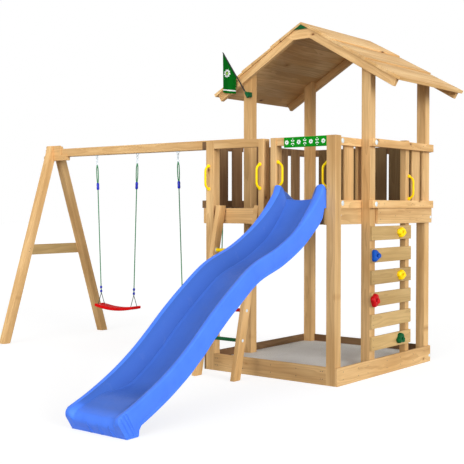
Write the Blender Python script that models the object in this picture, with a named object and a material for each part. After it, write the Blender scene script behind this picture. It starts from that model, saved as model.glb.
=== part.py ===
"""A timber play tower with a wave slide, a ladder, a climbing wall, a sandbox and two swings.

Metres, +Z up. +X runs to the right along the front and +Y to the back.
The origin is the middle of the foot of the front right corner post, on the ground.
"""

import math

import bmesh
import bpy
from mathutils import Matrix, Vector

# Clearances
GAP = 0.0003
POST_CLEARANCE = 0.001

# Edges blunter than this are shaded smooth
SMOOTH_ANGLE = math.radians(35)

# Tower frame
POST = 0.09
TOWER_WIDTH = 1.40
TOWER_DEPTH = 1.70
RAIL_TOP = 2.10
EDGE = 0.003
MIDDLE_POST_WIDTH = 0.058
POST_PAIR_GAP = 0.074
BAY_PARTS = (51, 52)
BAYS = TOWER_WIDTH - 2 * POST - 2 * MIDDLE_POST_WIDTH - POST_PAIR_GAP
LADDER_BAY, SLIDE_BAY = (BAYS * part / sum(BAY_PARTS) for part in BAY_PARTS)
ROOF_POST_SETBACK = 0.568

# Deck and the joists round it
DECK_TOP = 1.49
JOIST_HEIGHT = 0.14
JOIST_THICKNESS = 0.028
DECK_BOARD = 0.022
DECK_BOARD_WIDTH = 0.14
DECK_BOARD_GAP = 0.008
BEARER = 0.045
BEARER_PLACES = (0.12, 0.5, 0.88)

# Railings
RAIL_HEIGHT = 0.07
RAIL_THICKNESS = 0.045
SLAT_WIDTH = 0.171
SLAT_GAP = 0.046
NARROW_SLAT_WIDTH = 0.152
NARROW_SLAT_GAP = 0.058
BACK_SLAT_WIDTH = 0.154
BACK_SLAT_GAP = 0.012
SLAT_THICKNESS = 0.022
SLAT_SUNK = 0.002
NARROWEST_SLAT = 0.03
SLAT_FOOT = 0.008
SLAT_HEAD = 0.006
FRONT_BAY_SLAT_START = 0.152
REAR_BAY_SLAT_START = 0.044
RAIL_OVERHANG = 0.025

# Sandbox
BOARD_HEIGHT = 0.155
BOARD_THICKNESS = 0.022
SAND_DEPTH = 0.09

# Climbing wall on the right side
STUD_WIDTH = 0.069
STUD_DEPTH = 0.06
STUD_ABOVE_RAIL = 0.02
ENTRY_WIDTH = 0.565
PLANK_COUNT = 6
PLANK_HEIGHT = 0.125
PLANK_PITCH = 0.195
PLANK_THICKNESS = 0.022
PLANK_TOP_GAP = 0.02
HOLD_RADIUS = 0.046
HOLD_DEPTH = 0.04
HOLD_SIDES = 18
HOLD_LOBE = 0.13
HOLD_PROFILE = ((0.0, 0.96), (0.25, 1.0), (0.6, 0.86), (0.85, 0.58), (1.0, 0.28))
HOLD_FROM_POST = 0.03
HOLD_FROM_STUD = 0.145
HOLD_SHIFT = 0.01

# Banner over the slide
BANNER_THICKNESS = 0.012
BANNER_INSET = 0.085
BANNER_HEIGHT = 0.088
BANNER_DROP = 0.002

# Roof
RIDGE_TOP = 3.19
ROOF_HALF_SPAN = 1.016
ROOF_RISE = 0.596
ROOF_BOARD = 0.018
ROOF_LAP = 0.012
ROOF_COURSES = 3
BOARDS_A_COURSE = 3
GROOVE = 0.004
ROOF_OVERHANG = 0.015
RAFTER_DEPTH = 0.07
RAFTER_THICKNESS = 0.045
RAFTER_SHORT = 0.035
COLLAR_BOTTOM_DROP = 0.153

# Ladder
STRINGER_THICKNESS = 0.045
STRINGER_WIDTH = 0.09
LADDER_REACH = 0.345
LADDER_RISE_ABOVE_DECK = 0.024
RUNG_RADIUS = 0.016
LOWEST_RUNG = 0.34
RUNG_PITCH = 0.257
RUNG_SIDES = 20

# Slide
SLIDE_RUN = 2.425
SLIDE_TOP_RIM = 0.20
SLIDE_END_RIM = 0.152
SLIDE_SIDE_CLEARANCE = 0.002
SLIDE_SHELL = 0.008
SLIDE_RIM_WIDTH = 0.034
SLIDE_FLOOR_HALF = 0.125
SLIDE_END_FLOOR_HALF = 0.185
SLIDE_CHUTE_DEPTH = 0.115
SLIDE_END_DEPTH = 0.034
SLIDE_END_ROUNDING = 0.045
SLIDE_END_LEAN = 0.07
SLIDE_WALL = 0.15
SLIDE_FOOT_LENGTH = 0.185
SLIDE_END_START = 0.78
SLIDE_RIM_DROP = 0.016
SLIDE_RIM_ROUNDING = ((0.002, 0.012), (0.010, 0.001))
SLIDE_RIM_UNDERSIDE = ((0.002, 0.016), (0.006, 0.012))
SLIDE_RIM_EDGE = 0.004
SLIDE_FLOOR_DISH = 0.003
SLIDE_WIDENS_FROM = 0.75
SLIDE_FIRST_STATION = 0.022
SLIDE_SLOPE_STEP = 0.01
SLIDE_FOOT_STEPS = 5
SLIDE_FOOT_EDGE = 0.004
APRON_THICKNESS = 0.012
APRON_INSET = 0.002
SLIDE_STATIONS = 40
SLIDE_CREASE = (
    (0.30, 0.12),
    (0.65, 0.52),
    (0.90, 0.86),
    (1.00, 0.96),
    (1.15, 1.00),
)
SLIDE_LIP_DROP = 0.015
SLIDE_HORN = (
    (0.118, 0.12),
    (0.100, 0.27),
    (0.075, 0.45),
    (0.045, 0.62),
    (0.008, 0.68),
    (0.000, 0.82),
    (-0.012, 0.95),
    (-0.026, 1.00),
)
SLIDE_WAVE = (
    (0.000, 1.000),
    (0.072, 0.878),
    (0.161, 0.764),
    (0.267, 0.675),
    (0.407, 0.594),
    (0.519, 0.482),
    (0.609, 0.377),
    (0.677, 0.288),
    (0.743, 0.208),
    (0.822, 0.129),
    (0.913, 0.056),
    (1.000, 0.000),
)

# Handles
HANDLE_HEIGHT = 0.21
HANDLE_STAND_OFF = 0.052
HANDLE_RADIUS = 0.0105
HANDLE_FOOT_RADIUS = 0.016
HANDLE_FOOT_BELOW_RAIL = 0.435
HANDLE_CORNER_INSET = 0.035
HANDLE_MIDDLE_INSET = 0.02
HANDLE_SIDE_INSET = 0.026
HANDLE_STUD_INSET = 0.05
HANDLE_SLIDE_LIFT = 0.015
HANDLE_BOW = ((0.0, 1.0), (0.12, 1.0), (0.34, 0.93), (0.75, 0.80), (0.97, 0.62), (1.0, 0.45))

# Swing frame
BEAM = 0.09
BEAM_TOP = 2.163
BEAM_LENGTH = 2.90
A_FRAME_DISTANCE = 2.787
A_FRAME_HALF_SPREAD = 0.737
LEG = 0.085
LEG_TOP_ABOVE_BEAM = 0.037
SADDLE_BASE = 0.042
SADDLE_WIDTH = 0.058
SADDLE_CHEEK = 0.018
SADDLE_INWARD = 0.26
SADDLE_OUTWARD = 0.126
SADDLE_LOW_CHEEK = 0.02
SADDLE_HEAD_INWARD = 0.16
SADDLE_HEAD_OUTWARD = 0.08
CROSSBAR_MIDDLE = 1.017
CROSSBAR_HEIGHT = 0.115
CROSSBAR_THICKNESS = 0.035
CROSSBAR_OVERHANG = -0.035

# Swings
SWING_DISTANCES = (1.78, 0.58)
HANGER_SPAN = 0.623
SEAT_SPAN = 0.50
EYE_RADIUS = 0.012
EYE_DROP = 0.03
EYE_PLATE = (0.05, 0.03, 0.004)
EYE_STEM = 0.006
ROPE_RADIUS = 0.006
ROPE_POINTS = 30
ROPE_STEP = 0.004
ROPE_TIP = 0.8
# Shares of a rope's length at which its parts end, and how thick each is beside the rope
ROPE_PARTS = (
    (0.010, EYE_RADIUS / ROPE_RADIUS),
    (0.055, 0.8),
    (0.180, 1.5),
    (0.235, 2.2),
    (0.945, 1.0),
    (0.985, 2.0),
)
SEAT_TOP = 0.435
SEAT_LENGTH = 0.56
SEAT_WIDTH = 0.15
SEAT_THICKNESS = 0.032
SEAT_SAG = 0.03
SEAT_ROUNDING = 0.006
SEAT_STATIONS = 17
HANGER_HEIGHT = 0.11
HANGER_BASE = 0.095
HANGER_BAR = 0.005

# Flag
POLE_RADIUS = 0.006
POLE_RISE = 0.43
POLE_LEAN = 0.294
FLAG_INSET = 0.09
FLAG_ALONG_POLE = (0.43, 0.985)
FLAG_DROP = 0.375
FLAG_SHORT_DROP = 0.16
FLAG_THICKNESS = 0.004
FLAG_HOLDER = (0.03, 0.045, 0.05)
FLAG_HOLDER_TOP = 2.60

# Outer faces of the tower's posts
RIGHT = POST / 2
LEFT = RIGHT - TOWER_WIDTH
FRONT = -POST / 2
BACK = FRONT + TOWER_DEPTH

# Places worked out from the sizes above
JOIST_BOTTOM = DECK_TOP - JOIST_HEIGHT
JOIST_BACK = FRONT + POST + GAP + JOIST_THICKNESS
ROOF_POST_FRONT = FRONT + ROOF_POST_SETBACK
BACK_POST_FRONT = BACK - POST
LADDER_POST_LEFT = LEFT + POST + LADDER_BAY
SLIDE_POST_RIGHT = RIGHT - POST - SLIDE_BAY
STUD_FRONT = ROOF_POST_FRONT + POST + ENTRY_WIDTH
LOWER_RAIL_BOTTOM = DECK_TOP + GAP
LOWER_RAIL_TOP = LOWER_RAIL_BOTTOM + RAIL_HEIGHT
TOP_RAIL_BOTTOM = RAIL_TOP - RAIL_HEIGHT
RIDGE_X = (LEFT + RIGHT) / 2
ROOF_SLOPE = math.atan2(ROOF_RISE, ROOF_HALF_SPAN)
BEAM_Y = ROOF_POST_FRONT + POST / 2
BEAM_BOTTOM = BEAM_TOP - BEAM
A_FRAME_X = LEFT - A_FRAME_DISTANCE
SADDLE_BOTTOM = BEAM_BOTTOM - GAP - SADDLE_BASE
PIVOT_Z = BEAM_BOTTOM - EYE_DROP

# Finishes: colour, roughness, metallic
PINE = ((0.70, 0.43, 0.20), 0.65, 0.0)
PINE_PLANK = ((0.55, 0.36, 0.15), 0.65, 0.0)
BLUE = ((0.05, 0.17, 0.85), 0.35, 0.0)
GREEN = ((0.0, 0.22, 0.03), 0.4, 0.0)
YELLOW = ((0.95, 0.72, 0.0), 0.35, 0.0)
RED = ((0.75, 0.01, 0.01), 0.35, 0.0)
SAND = ((0.62, 0.60, 0.54), 0.95, 0.0)
BLACK = ((0.02, 0.02, 0.02), 0.5, 0.0)
ROPE_GREEN = ((0.02, 0.2, 0.06), 0.8, 0.0)


def clear_scene():
    """Removes what the startup file holds."""
    for thing in list(bpy.data.objects):
        bpy.data.objects.remove(thing, do_unlink=True)


def finished(thing, finish):
    """Gives an object its own material."""
    colour, roughness, metallic = finish
    material = bpy.data.materials.new(thing.name)
    material.use_nodes = True
    shader = material.node_tree.nodes["Principled BSDF"]
    shader.inputs["Base Color"].default_value = (*colour, 1.0)
    shader.inputs["Roughness"].default_value = roughness
    shader.inputs["Metallic"].default_value = metallic
    thing.data.materials.append(material)
    return thing


def placed(name, mesh, location=(0, 0, 0)):
    """An object that shows this mesh."""
    thing = bpy.data.objects.new(name, mesh)
    thing.location = location
    bpy.context.scene.collection.objects.link(thing)
    return thing


def mesh_from(name, work):
    """A mesh from a bmesh, with its faces pointing out."""
    bmesh.ops.recalc_face_normals(work, faces=work.faces)
    mesh = bpy.data.meshes.new(name)
    work.to_mesh(mesh)
    work.free()
    return mesh


def add_box(work, low, high):
    """Adds a box between two corners to a bmesh."""
    made = bmesh.ops.create_cube(work, size=1.0)["verts"]
    low, high = Vector(low), Vector(high)
    size = high - low
    for vert in made:
        vert.co = (low + high) / 2 + Vector(a * b for a, b in zip(vert.co, size))


def eased(thing):
    """Takes the sharp edges off a piece of timber."""
    bevel = thing.modifiers.new("eased_edges", "BEVEL")
    bevel.width = EDGE
    bevel.segments = 1
    bevel.limit_method = "ANGLE"
    return thing


def timber(name, low, high, finish=PINE):
    """A straight piece of timber between two corners, with its origin in its middle."""
    middle = (Vector(low) + Vector(high)) / 2
    work = bmesh.new()
    add_box(work, Vector(low) - middle, Vector(high) - middle)
    thing = placed(name, mesh_from(name, work), middle)
    return finished(eased(thing), finish)


def prism(name, outline, axis, start, end, finish=PINE, eased_edges=True):
    """A flat outline drawn out along X or Y. The outline holds the other two coordinates."""
    work = bmesh.new()
    rings = []
    for at in (start, end):
        points = [(at, a, b) if axis == "X" else (a, at, b) for a, b in outline]
        rings.append([work.verts.new(point) for point in points])
    first, last = rings
    count = len(outline)
    work.faces.new(first)
    work.faces.new(last)
    for index in range(count):
        after = (index + 1) % count
        work.faces.new((first[index], first[after], last[after], last[index]))
    thing = finished(placed(name, mesh_from(name, work)), finish)
    return eased(thing) if eased_edges else thing


def helper(name, boxes):
    """A hidden mesh of boxes, for a Boolean."""
    work = bmesh.new()
    for low, high in boxes:
        add_box(work, low, high)
    thing = placed(name, mesh_from(name, work))
    thing.hide_render = True
    thing.display_type = "WIRE"
    return thing


def combined(thing, other, operation):
    """Adds a Boolean to an object."""
    boolean = thing.modifiers.new(other.name, "BOOLEAN")
    boolean.operation = operation
    boolean.solver = "EXACT"
    boolean.object = other
    return thing


def assembly(name, boxes, joining_boxes, finish=PINE):
    """Boxes that others join into one body."""
    work = bmesh.new()
    for low, high in boxes:
        add_box(work, low, high)
    thing = finished(placed(name, mesh_from(name, work)), finish)
    return combined(thing, helper(name + "_joined", joining_boxes), "UNION")


def tube(name, points, radii, finish, sides_setting=2):
    """A round bar along some points, each with its own radius, with closed ends."""
    curve = bpy.data.curves.new(name, "CURVE")
    curve.dimensions = "3D"
    curve.bevel_depth = 1.0
    curve.bevel_resolution = sides_setting
    curve.use_fill_caps = True
    spline = curve.splines.new("POLY")
    spline.points.add(len(points) - 1)
    for knot, place, radius in zip(spline.points, points, radii):
        knot.co = (*place, 1.0)
        knot.radius = radius
    return finished(placed(name, curve), finish)


def smooth(thing):
    """Shades a round piece smooth, with its sharp edges kept."""
    thing.data.shade_smooth()
    thing.data.set_sharp_from_angle(angle=SMOOTH_ANGLE)
    return thing


def eased_step(share):
    """A rise from 0 to 1 that starts and ends level."""
    return share * share * (3 - 2 * share)


def curve_height(table, at):
    """The height at a share of the way along a table of points, on a smooth curve through them."""
    places = [place for place, _ in table]
    heights = [height for _, height in table]
    last = len(table) - 1
    slopes = []
    for index in range(last + 1):
        before, after = max(index - 1, 0), min(index + 1, last)
        slopes.append((heights[after] - heights[before]) / (places[after] - places[before]))
    index = max(i for i in range(last) if places[i] <= at or i == 0)
    width = places[index + 1] - places[index]
    t = (at - places[index]) / width
    rise = heights[index + 1] - heights[index]
    start_slope, end_slope = slopes[index] * width, slopes[index + 1] * width
    bend = start_slope * t * (1 - t) ** 2 - end_slope * t * t * (1 - t)
    return heights[index] + rise * eased_step(t) + bend


def roof_underside(x):
    """The height of the underside of the roof boards."""
    board = ROOF_BOARD / math.cos(ROOF_SLOPE)
    return RIDGE_TOP - board - abs(x - RIDGE_X) * math.tan(ROOF_SLOPE)


def build_front_posts():
    """The four posts along the front. The two middle ones end at the joist."""
    bottoms = (0.0, JOIST_BOTTOM, JOIST_BOTTOM, 0.0)
    lefts = (LEFT, LADDER_POST_LEFT, SLIDE_POST_RIGHT - MIDDLE_POST_WIDTH, RIGHT - POST)
    widths = (POST, MIDDLE_POST_WIDTH, MIDDLE_POST_WIDTH, POST)
    names = ("post_front_left", "post_ladder", "post_slide", "post_front_right")
    for name, left, width, bottom in zip(names, lefts, widths, bottoms):
        timber(name, (left, FRONT, bottom), (left + width, FRONT + POST, RAIL_TOP))


def build_roof_posts():
    """Four posts from the ground to the roof, with their tops cut to its slope."""
    for side, left in (("left", LEFT), ("right", RIGHT - POST)):
        tops = [roof_underside(x) - GAP for x in (left, left + POST)]
        outline = ((left, 0.0), (left + POST, 0.0), (left + POST, tops[1]), (left, tops[0]))
        for place, front in (("front", ROOF_POST_FRONT), ("back", BACK_POST_FRONT)):
            prism(f"roof_post_{place}_{side}", outline, "Y", front, front + POST)


def build_joists():
    """The joists that carry the deck. The left and back ones are outside the posts."""
    low, high = JOIST_BOTTOM, DECK_TOP
    inner_right = RIGHT - POST - GAP
    timber(
        "joist_front",
        (LEFT + GAP, FRONT + POST + GAP, low),
        (inner_right - JOIST_THICKNESS - GAP, JOIST_BACK, high),
    )
    timber(
        "joist_right",
        (inner_right - JOIST_THICKNESS, FRONT, low),
        (inner_right, BACK - GAP, high),
    )
    timber(
        "joist_left",
        (LEFT - GAP - JOIST_THICKNESS, FRONT, low),
        (LEFT - GAP, BACK, high),
    )
    timber(
        "joist_back",
        (LEFT - JOIST_THICKNESS, BACK + GAP, low),
        (RIGHT, BACK + GAP + JOIST_THICKNESS, high),
    )


def build_deck():
    """Deck boards on three bearers, notched round the posts that they meet."""
    left, right = LEFT + GAP, RIGHT - POST - JOIST_THICKNESS - 2 * GAP
    front, back = JOIST_BACK + GAP, BACK - GAP
    pitch = DECK_BOARD_WIDTH + DECK_BOARD_GAP
    count = math.ceil((right - left) / pitch)
    boards = []
    for index in range(count):
        start = left + index * pitch
        end = min(start + DECK_BOARD_WIDTH, right)
        if end - start > DECK_BOARD_WIDTH / 4:
            boards.append(((start, front, DECK_TOP - DECK_BOARD), (end, back, DECK_TOP)))
    bearer_top = DECK_TOP - DECK_BOARD / 2
    bearers = []
    for share in BEARER_PLACES:
        middle = front + (back - front) * share
        low = (left, middle - BEARER / 2, DECK_TOP - DECK_BOARD - BEARER)
        bearers.append((low, (right, middle + BEARER / 2, bearer_top)))
    deck = assembly("deck", boards, bearers)
    notches = []
    for front_face in (ROOF_POST_FRONT, BACK_POST_FRONT):
        low = (LEFT - POST, front_face - POST_CLEARANCE, JOIST_BOTTOM)
        high = (LEFT + POST + POST_CLEARANCE, front_face + POST + POST_CLEARANCE, RAIL_TOP)
        notches.append((low, high))
    combined(deck, helper("deck_notches", notches), "DIFFERENCE")


def slat_row(start, end, width=SLAT_WIDTH, gap=SLAT_GAP):
    """Where each slat of a row starts and ends. The last one is cut to fit."""
    row = []
    at = start
    while end - at > NARROWEST_SLAT:
        row.append((at, min(at + width, end)))
        at += width + gap
    return row


def build_railings():
    """The four side panels: a top rail and a lower rail with slats fixed to their inner faces."""
    slat_low, slat_high = DECK_TOP + SLAT_FOOT, RAIL_TOP - SLAT_HEAD
    rail_levels = ((LOWER_RAIL_BOTTOM, LOWER_RAIL_TOP), (TOP_RAIL_BOTTOM, RAIL_TOP))
    front_bay = (FRONT + POST + POST_CLEARANCE, ROOF_POST_FRONT - POST_CLEARANCE)
    rear_bay = (ROOF_POST_FRONT + POST + POST_CLEARANCE, BACK_POST_FRONT - POST_CLEARANCE)

    # Left: the top rail leaves room for the swing beam.
    outer = LEFT - GAP
    beam_front, beam_back = BEAM_Y - BEAM / 2 - POST_CLEARANCE, BEAM_Y + BEAM / 2 + POST_CLEARANCE
    rails = [((outer - RAIL_THICKNESS, FRONT, LOWER_RAIL_BOTTOM), (outer, BACK, LOWER_RAIL_TOP))]
    for start, end in ((FRONT, beam_front), (beam_back, BACK)):
        low = (outer - RAIL_THICKNESS, start, TOP_RAIL_BOTTOM)
        rails.append((low, (outer, end, RAIL_TOP)))
    row = slat_row(FRONT + FRONT_BAY_SLAT_START, front_bay[1])
    row += slat_row(rear_bay[0] + REAR_BAY_SLAT_START, rear_bay[1])
    slats = []
    for start, end in row:
        low = (outer - SLAT_SUNK, start, slat_low)
        slats.append((low, (outer - SLAT_SUNK + SLAT_THICKNESS, end, slat_high)))
    assembly("railing_left", rails, slats)

    # Back
    outer = BACK + GAP
    rails = [
        ((LEFT, outer, low), (RIGHT, outer + RAIL_THICKNESS, high)) for low, high in rail_levels
    ]
    slats = []
    start_x, end_x = LEFT + POST + SLAT_GAP, RIGHT - POST - POST_CLEARANCE
    for start, end in slat_row(start_x, end_x, BACK_SLAT_WIDTH, BACK_SLAT_GAP):
        low = (start, outer + SLAT_SUNK - SLAT_THICKNESS, slat_low)
        slats.append((low, (end, outer + SLAT_SUNK, slat_high)))
    assembly("railing_back", rails, slats)

    # Right, front bay: on the inner faces of the posts
    outer = RIGHT - POST - GAP
    inner = outer - RAIL_THICKNESS
    rail_back = ROOF_POST_FRONT + POST
    starts = (JOIST_BACK + POST_CLEARANCE, FRONT + BANNER_THICKNESS + GAP)
    rails = [
        ((inner, start, low), (outer, rail_back, high))
        for start, (low, high) in zip(starts, rail_levels)
    ]
    slats = []
    narrow = (NARROW_SLAT_WIDTH, NARROW_SLAT_GAP)
    for start, end in slat_row(FRONT + FRONT_BAY_SLAT_START, rail_back, *narrow):
        low = (inner + SLAT_SUNK - SLAT_THICKNESS, start, slat_low)
        slats.append((low, (inner + SLAT_SUNK, end, slat_high)))
    assembly("railing_right_front", rails, slats)

    # Right, rear bay: on the outer faces of the posts, with a ledger under the lower rail
    inner = RIGHT + GAP
    start = ROOF_POST_FRONT - RAIL_OVERHANG
    rails = [
        ((inner, start, low), (inner + RAIL_THICKNESS, BACK, high)) for low, high in rail_levels
    ]
    ledger_front = ROOF_POST_FRONT + POST
    ledger_low = (inner, ledger_front, JOIST_BOTTOM)
    ledger = (ledger_low, (inner + JOIST_THICKNESS, BACK, LOWER_RAIL_BOTTOM + EDGE))
    slats = [ledger]
    row_start = STUD_FRONT + STUD_WIDTH + NARROW_SLAT_GAP
    for start, end in slat_row(row_start, BACK_POST_FRONT - POST_CLEARANCE, *narrow):
        low = (inner + SLAT_SUNK - SLAT_THICKNESS, start, slat_low)
        slats.append((low, (inner + SLAT_SUNK, end, slat_high)))
    assembly("railing_right_rear", rails, slats)


def build_front_rails():
    """The rails over the two front openings, and the banner over the slide."""
    timber(
        "rail_over_ladder",
        (LEFT + POST + GAP, FRONT, TOP_RAIL_BOTTOM),
        (LADDER_POST_LEFT - GAP, FRONT + RAIL_THICKNESS, RAIL_TOP),
    )
    rail_front = FRONT + BANNER_THICKNESS + GAP
    timber(
        "rail_over_slide",
        (SLIDE_POST_RIGHT + GAP, rail_front, TOP_RAIL_BOTTOM),
        (RIGHT - POST - RAIL_THICKNESS - 2 * GAP, rail_front + RAIL_THICKNESS, RAIL_TOP),
    )
    banner_top = RAIL_TOP - BANNER_DROP
    timber(
        "banner",
        (SLIDE_POST_RIGHT + BANNER_INSET, FRONT, banner_top - BANNER_HEIGHT),
        (RIGHT - POST - GAP, FRONT + BANNER_THICKNESS, banner_top),
        GREEN,
    )


def build_sandbox():
    """Four boards round the foot of the tower, and the sand between them."""
    timber(
        "sandbox_board_front",
        (LEFT + POST + GAP, FRONT, 0.0),
        (RIGHT - POST - GAP, FRONT + BOARD_THICKNESS, BOARD_HEIGHT),
    )
    timber(
        "sandbox_board_back",
        (LEFT + POST + GAP, BACK - BOARD_THICKNESS, 0.0),
        (RIGHT - POST - GAP, BACK, BOARD_HEIGHT),
    )
    for side, inner, outward in (("left", LEFT - GAP, -1), ("right", RIGHT + GAP, 1)):
        faces = sorted((inner, inner + outward * BOARD_THICKNESS))
        timber(
            f"sandbox_board_{side}",
            (faces[0], FRONT, 0.0),
            (faces[1], BACK, BOARD_HEIGHT),
        )
    inset = BOARD_THICKNESS + POST_CLEARANCE
    low = (LEFT + POST_CLEARANCE, FRONT + inset, 0.0)
    high = (RIGHT - POST_CLEARANCE, BACK - inset, SAND_DEPTH)
    work = bmesh.new()
    add_box(work, low, high)
    sand = finished(placed("sand", mesh_from("sand", work)), SAND)
    cuts = []
    for left in (LEFT, RIGHT - POST):
        for front in (FRONT, ROOF_POST_FRONT, BACK_POST_FRONT):
            cut_low = (left - POST, front - POST_CLEARANCE, -POST)
            cut_high = (left + POST + POST_CLEARANCE, front + POST + POST_CLEARANCE, POST)
            if left != LEFT:
                cut_low = (left - POST_CLEARANCE, cut_low[1], cut_low[2])
                cut_high = (left + 2 * POST, cut_high[1], cut_high[2])
            cuts.append((cut_low, cut_high))
    stud_low = (RIGHT - STUD_DEPTH - POST_CLEARANCE, STUD_FRONT - POST_CLEARANCE, -POST)
    stud_high = (RIGHT + POST, STUD_FRONT + STUD_WIDTH + POST_CLEARANCE, POST)
    cuts.append((stud_low, stud_high))
    combined(sand, helper("sand_cuts", cuts), "DIFFERENCE")


def plank_middle(index):
    """The height of the middle of a climbing plank, counted from the top."""
    top = JOIST_BOTTOM - PLANK_TOP_GAP - index * PLANK_PITCH
    return top - PLANK_HEIGHT / 2


def build_climbing_wall():
    """A stud from the ground to the rail, and planks from it to the front roof post."""
    stud_low = (RIGHT - STUD_DEPTH, STUD_FRONT, 0.0)
    stud = (stud_low, (RIGHT, STUD_FRONT + STUD_WIDTH, RAIL_TOP + STUD_ABOVE_RAIL))
    inner = RIGHT + GAP
    planks = []
    pads = []
    for index in range(PLANK_COUNT):
        middle = plank_middle(index)
        low = (inner, ROOF_POST_FRONT, middle - PLANK_HEIGHT / 2)
        end = STUD_FRONT + STUD_WIDTH
        planks.append((low, (inner + PLANK_THICKNESS, end, middle + PLANK_HEIGHT / 2)))
        pad_low = (RIGHT - EDGE, STUD_FRONT + EDGE, middle - PLANK_HEIGHT / 4)
        pads.append((pad_low, (inner + EDGE, end - EDGE, middle + PLANK_HEIGHT / 4)))
    wall = assembly("climbing_wall", [stud], planks, PINE_PLANK)
    combined(wall, helper("climbing_wall_fixings", pads), "UNION")


def hold_mesh(name, lobes, turn):
    """A moulded climbing hold: a lobed dome with a flat back on the plane X = 0."""
    work = bmesh.new()
    rings = []
    for depth, share in HOLD_PROFILE:
        ring = []
        for step in range(HOLD_SIDES):
            angle = math.tau * step / HOLD_SIDES
            radius = HOLD_RADIUS * share * (1 + HOLD_LOBE * math.cos(lobes * angle + turn))
            place = (depth * HOLD_DEPTH, radius * math.cos(angle), radius * math.sin(angle))
            ring.append(work.verts.new(place))
        rings.append(ring)
    for inner, outer in zip(rings, rings[1:]):
        for step in range(HOLD_SIDES):
            after = (step + 1) % HOLD_SIDES
            work.faces.new((inner[step], inner[after], outer[after], outer[step]))
    work.faces.new(rings[0])
    work.faces.new(rings[-1])
    return mesh_from(name, work)


def build_holds():
    """Five climbing holds on the planks."""
    near_post = ROOF_POST_FRONT + HOLD_FROM_POST
    near_stud = STUD_FRONT - HOLD_FROM_STUD
    holds = (
        ("hold_yellow_upper", 0, near_stud, 3, 0.4, YELLOW),
        ("hold_blue", 1, near_post + HOLD_SHIFT, 4, 0.0, BLUE),
        ("hold_yellow_lower", 2, near_stud, 3, 2.1, YELLOW),
        ("hold_red", 3, near_post, 5, 0.9, RED),
        ("hold_green", 5, near_stud - HOLD_SHIFT, 3, 1.2, GREEN),
    )
    face = RIGHT + PLANK_THICKNESS + 2 * GAP
    for name, plank, along, lobes, turn, finish in holds:
        place = (face, along, plank_middle(plank))
        smooth(finished(placed(name, hold_mesh(name, lobes, turn), place), finish))


def build_roof():
    """Two slopes of lapped boards on two trusses."""
    front = ROOF_POST_FRONT - GAP - RAFTER_THICKNESS - ROOF_OVERHANG
    back = BACK + GAP + RAFTER_THICKNESS + ROOF_OVERHANG
    along = Vector((math.cos(ROOF_SLOPE), -math.sin(ROOF_SLOPE)))
    up = Vector((math.sin(ROOF_SLOPE), math.cos(ROOF_SLOPE)))
    length = ROOF_HALF_SPAN / math.cos(ROOF_SLOPE)
    course = length / ROOF_COURSES
    board = course / BOARDS_A_COURSE
    top_side = []
    for index in range(ROOF_COURSES):
        for piece in range(BOARDS_A_COURSE):
            start = index * course + piece * board
            rise = [ROOF_LAP * (piece + step) / BOARDS_A_COURSE for step in (0, 1)]
            if piece:
                top_side.append((start + GROOVE, rise[0]))
            else:
                top_side.append((start, 0.0))
            top_side.append((start + board - GROOVE * (piece < BOARDS_A_COURSE - 1), rise[1]))
            if piece < BOARDS_A_COURSE - 1:
                top_side.append((start + board, rise[1] - GROOVE))
    for side, sign in (("left", -1), ("right", 1)):
        outline = []
        for distance, rise in top_side:
            flat = along * distance + up * rise
            outline.append((flat.x, flat.y))
        eave = along * length - up * ROOF_BOARD
        outline.append((eave.x, eave.y))
        outline.append((0.0, -ROOF_BOARD / math.cos(ROOF_SLOPE)))
        shifted = [(RIDGE_X + sign * (x + GAP), RIDGE_TOP + z) for x, z in outline]
        prism(f"roof_slope_{side}", shifted, "Y", front, back, PINE, False)
    build_trusses()


def build_trusses():
    """A pair of rafters with a collar at each end of the roof."""
    depth = RAFTER_DEPTH / math.cos(ROOF_SLOPE)
    slope = math.tan(ROOF_SLOPE)
    under_ridge = roof_underside(RIDGE_X) - GAP
    reach = ROOF_HALF_SPAN - RAFTER_SHORT
    collar = RIDGE_TOP - COLLAR_BOTTOM_DROP
    collar_half = (under_ridge - depth - collar) / slope
    end_shift = RAFTER_DEPTH * math.sin(ROOF_SLOPE)
    end_top = under_ridge - reach * slope
    end_bottom = end_top - RAFTER_DEPTH * math.cos(ROOF_SLOPE)
    half = [(0.0, under_ridge), (reach, end_top), (reach - end_shift, end_bottom)]
    half.append((collar_half, collar))
    outline = [(RIDGE_X + x, z) for x, z in half]
    outline += [(RIDGE_X - x, z) for x, z in reversed(half[1:])]
    for place, start in (
        ("front", ROOF_POST_FRONT - GAP - RAFTER_THICKNESS),
        ("back", BACK + GAP),
    ):
        prism(f"roof_truss_{place}", outline, "Y", start, start + RAFTER_THICKNESS)


def slide_station(share):
    """The Y, rim height, floor depth, wall foot and shell foot of the slide at a share of its run."""
    y = FRONT - share * SLIDE_RUN
    top, end = DECK_TOP + SLIDE_TOP_RIM, SLIDE_END_RIM
    rim = end + (top - end) * curve_height(SLIDE_WAVE, share)
    step = SLIDE_SLOPE_STEP
    before, after = max(share - step, 0.0), min(share + step, 1.0)
    rise = curve_height(SLIDE_WAVE, before) - curve_height(SLIDE_WAVE, after)
    steepness = rise * (top - end) / ((after - before) * SLIDE_RUN)
    stretch = math.hypot(1.0, steepness)
    depth = SLIDE_CHUTE_DEPTH * stretch
    foot_share = 1 - SLIDE_FOOT_LENGTH / SLIDE_RUN
    into_end = (share - SLIDE_END_START) / (foot_share - SLIDE_END_START)
    depth += (SLIDE_END_DEPTH - depth) * eased_step(min(max(into_end, 0.0), 1.0))
    foot = max(rim - SLIDE_WALL * stretch, 0.0)
    return y, rim, depth, foot


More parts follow.
